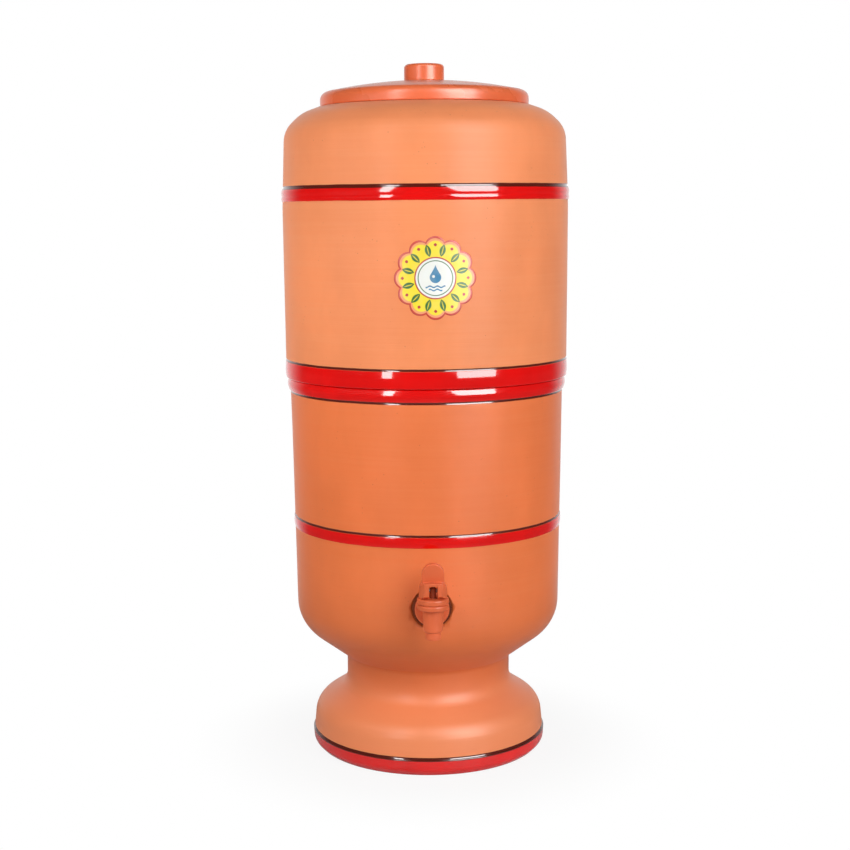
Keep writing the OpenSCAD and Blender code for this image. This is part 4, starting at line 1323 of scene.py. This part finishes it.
def candle_shell(node, name, wall=7 * MM, edge=0.8 * MM):
    """A hollow ceramic candle: a tube with a round top, and its lower edges chamfered."""
    low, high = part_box(node)
    centre, r = (low + high) / 2, (high.x - low.x) / 2
    bore, arc = r - wall, [math.pi / 2 * i / 20 for i in range(20)]

    def dome(radius, top):
        return [(radius * math.cos(a), top - radius + radius * math.sin(a)) for a in arc]

    outline = [
        (bore, low.z + edge), (bore + edge, low.z), (r - edge, low.z), (r, low.z + edge),
        *dome(r, high.z), (0, high.z), (0, high.z - wall), *reversed(dome(bore, high.z - wall)),
    ]
    piece = spin(name, [Vector(point) for point in outline], 96, 3 * MM)
    piece.data.transform(Matrix.Translation((centre.x, centre.y, 0)))
    return piece


class POT_OT_candles(bpy.types.Operator):
    """Finishes the two ceramic candles with their bases, washers and wing nuts"""

    bl_idname = "clay_pot.candles"
    bl_label = "Candles"

    def execute(self, context):
        bore = context.scene.clay_pot.tap.candle_stem_r + RING_ROOM
        for side in "ab":
            dome = candle_shell(f"candle_dome_{side}", f"candle_{side}")
            place(dome, "candle", "upper_vessel", f"candle_dome_{side}")
            finished(CANDLE_PARTS, side)
            for kind in ("gasket_", "washer_"):
                node = f"candle_{kind}{side}"
                low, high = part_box(node)
                centre = (low + high) / 2
                ring = soft_ring(
                    f"floor_{kind}{side}", bore, high.x - centre.x, low.z, high.z, 0.6 * MM,
                    Matrix.Translation((centre.x, centre.y, 0)),
                )
                place(ring, "rubber", "upper_vessel", node)
            # The carbon stays as the CAD node, out of sight inside the candle
            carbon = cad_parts[f"carbon_fill_{side}"].data.materials
            carbon.clear()
            carbon.append(made("carbon"))
        return {"FINISHED"}


class POT_OT_float_valves(bpy.types.Operator):
    """Finishes the two float valves that hang under the upper chamber"""

    bl_idname = "clay_pot.float_valves"
    bl_label = "Float valves"

    def execute(self, context):
        for side in "ab":
            finished(FLOAT_VALVE_PARTS, side)
        return {"FINISHED"}


# ---------------------------------------------------------------- stage


# Each light: its name, the setting of its power, its turn to the right and its rise in degrees, its
# distance, width and height in metres, and whether only gloss shows it or only matt surfaces
LIGHTS = (
    ("key_light", "key", 31, 24, 1.55, 0.97, 0.8, False),
    ("key_sheen", "sheen", 38, 26.5, 1.67, 1.02, 1.7, True),
    ("strip_light", "strip", -31.5, 26.5, 1.67, 0.25, 1.7, True),
    ("fill_light", "fill", -58, 18, 0.62, 0.35, 0.25, False),
)

# The room and the floor brighten to the back where gloss shows them, between these shares of the
# way from the side to the back; the floor's front has the second strength
BACK_FADE, FLOOR_FRONT = (0.45, 0.95), 0.10

# The floor's shadow is in full at the foot and fades out from it, in metres; so does its reflection
SHADOW_FADE, SHADOW_SHARE, MIRROR_FADE = (0.10, 0.22), 0.90, (0.20, 0.60)


def area_light(name, azimuth, elevation, distance, width, height, power, aim):
    """A soft rectangle of light that faces the pot from azimuth and elevation, in degrees."""
    lamp = bpy.data.lights.new(name, "AREA")
    lamp.shape = "RECTANGLE"
    lamp.size, lamp.size_y = width, height
    lamp.energy = power
    piece = bpy.data.objects.new(name, lamp)
    bpy.context.scene.collection.objects.link(piece)
    a, e = math.radians(azimuth), math.radians(elevation)
    away = Vector((math.sin(a) * math.cos(e), -math.cos(a) * math.cos(e), math.sin(e)))
    piece.location = aim + away * distance
    piece.rotation_euler = away.to_track_quat("Z", "Y").to_euler()
    return piece


class POT_OT_stage(bpy.types.Operator):
    """Sets the camera, the soft studio lights and the pale floor"""

    bl_idname = "clay_pot.stage"
    bl_label = "Stage"

    def execute(self, context):
        stage = context.scene.clay_pot.stage
        context.scene.view_settings.view_transform = "Standard"
        self.add_camera(context, stage)
        middle = Vector((0, 0, (cad_low.z + cad_high.z) / 2))
        for name, setting, *measures, glossy in LIGHTS:
            lamp = area_light(name, *measures, getattr(stage, setting), middle)
            if glossy:
                lamp.visible_diffuse = False
            else:
                lamp.visible_glossy = False
        self.add_world(context, stage)
        self.add_floor()
        return {"FINISHED"}

    def add_camera(self, context, stage):
        data = bpy.data.cameras.new("camera")
        data.sensor_width = 36
        data.lens = stage.lens
        data.shift_x, data.shift_y = stage.shift_x, stage.shift_y
        data.clip_start, data.clip_end = 0.05, 50
        camera = bpy.data.objects.new("camera", data)
        context.scene.collection.objects.link(camera)
        right = Vector((1, 0, 0))
        up = Vector((0, math.sin(stage.pitch), math.cos(stage.pitch)))
        ahead = Vector((0, math.cos(stage.pitch), -math.sin(stage.pitch)))
        rolled_right = math.cos(stage.roll) * right - math.sin(stage.roll) * up
        rolled_up = math.sin(stage.roll) * right + math.cos(stage.roll) * up
        axes = Matrix((rolled_right, rolled_up, -ahead)).transposed().to_4x4()
        around, aside = (Matrix.Rotation(turn, 4, "Z") for turn in (stage.azimuth, stage.aside))
        away = Matrix.Translation((0, -stage.distance, stage.height))
        camera.matrix_world = around @ away @ aside @ axes
        context.scene.camera = camera

    def rays(self, n):
        """Whether the camera sees a place, and whether gloss or a clear piece shows it."""
        ray = n.add("ShaderNodeLightPath").outputs
        shown = n.maths("MAXIMUM", ray["Is Glossy Ray"], ray["Is Transmission Ray"])
        return ray["Is Camera Ray"], shown

    def add_world(self, context, stage):
        world = bpy.data.worlds.new("room")
        world.use_nodes = True
        n = Nodes(world.node_tree)
        world.node_tree.nodes.clear()
        seen, shown = self.rays(n)
        _, behind, up = n.split(n.add("ShaderNodeTexCoord").outputs["Generated"])
        lit = n.ramp(up, 0.0, 0.9, stage.room, stage.overhead)
        backdrop = n.ramp(behind, *BACK_FADE, stage.dim, 1.0)
        strength = n.blend(seen, n.blend(shown, lit, backdrop), 1.0)
        light = n.add("ShaderNodeBackground", {"Color": (1, 1, 1, 1), "Strength": strength})
        n.add("ShaderNodeOutputWorld", {"Surface": light.outputs[0]})
        context.scene.world = world

    def add_floor(self):
        bm = bmesh.new()
        bmesh.ops.create_grid(bm, x_segments=1, y_segments=1, size=6)
        floor = mesh_object("floor", bm)
        material, n, shader = new_material("Pale floor")
        fixed(shader, {"Base Color": (0.60, 0.60, 0.60, 1), "Roughness": 0.7})
        nodes = material.node_tree.nodes
        x, y, _ = n.split(n.position())
        away = n.far(x, y)
        seen, shown = self.rays(n)
        backdrop = n.ramp(n.maths("DIVIDE", y, away), *BACK_FADE, FLOOR_FRONT, 1.0)
        strength = n.blend(shown, 1.0, backdrop)
        white = n.add("ShaderNodeEmission", {"Color": (1, 1, 1, 1), "Strength": strength})
        fade = n.times(seen, n.ramp(away, *SHADOW_FADE, SHADOW_SHARE, 1.0))
        fade = n.maths("MAXIMUM", fade, n.times(shown, n.ramp(away, *MIRROR_FADE)))
        surface = nodes["Principled BSDF"].outputs[0]
        mixed = n.add("ShaderNodeMixShader", {0: fade, 1: surface, 2: white.outputs[0]}).outputs[0]
        n.feed(nodes["Material Output"].inputs[0], mixed)
        floor.data.materials.append(material)


# ---------------------------------------------------------------- panel and registration


class POT_PT_panel(bpy.types.Panel):
    """Lists the pot's pieces in the sidebar"""

    bl_label = "Clay water pot"
    bl_idname = "POT_PT_panel"
    bl_space_type = "VIEW_3D"
    bl_region_type = "UI"
    bl_category = "Clay Pot"

    def draw(self, context):
        for operator in OPERATORS:
            self.layout.operator(operator.bl_idname)
        pot = context.scene.clay_pot
        for settings in (getattr(pot, name) for name in ClayPot.__annotations__):
            box = self.layout.box()
            for key in settings.__annotations__:
                box.prop(settings, key)


OPERATORS = (
    POT_OT_stage, POT_OT_lower_chamber, POT_OT_upper_chamber, POT_OT_lid, POT_OT_label, POT_OT_tap,
    POT_OT_lever, POT_OT_spring, POT_OT_candles, POT_OT_float_valves,
)
CLASSES = (
    ClaySizes, BandSizes, LidSizes, LabelSizes, TapSizes, Finishes, StageSettings, ClayPot,
    *OPERATORS, POT_PT_panel,
)


def register():
    for cls in CLASSES:
        bpy.utils.register_class(cls)
    bpy.types.Scene.clay_pot = PointerProperty(type=ClayPot)


def unregister():
    del bpy.types.Scene.clay_pot
    for cls in reversed(CLASSES):
        bpy.utils.unregister_class(cls)


def main():
    register()
    for operator in OPERATORS:
        section, name = operator.bl_idname.split(".")
        getattr(getattr(bpy.ops, section), name)()


if __name__ == "__main__":
    main()
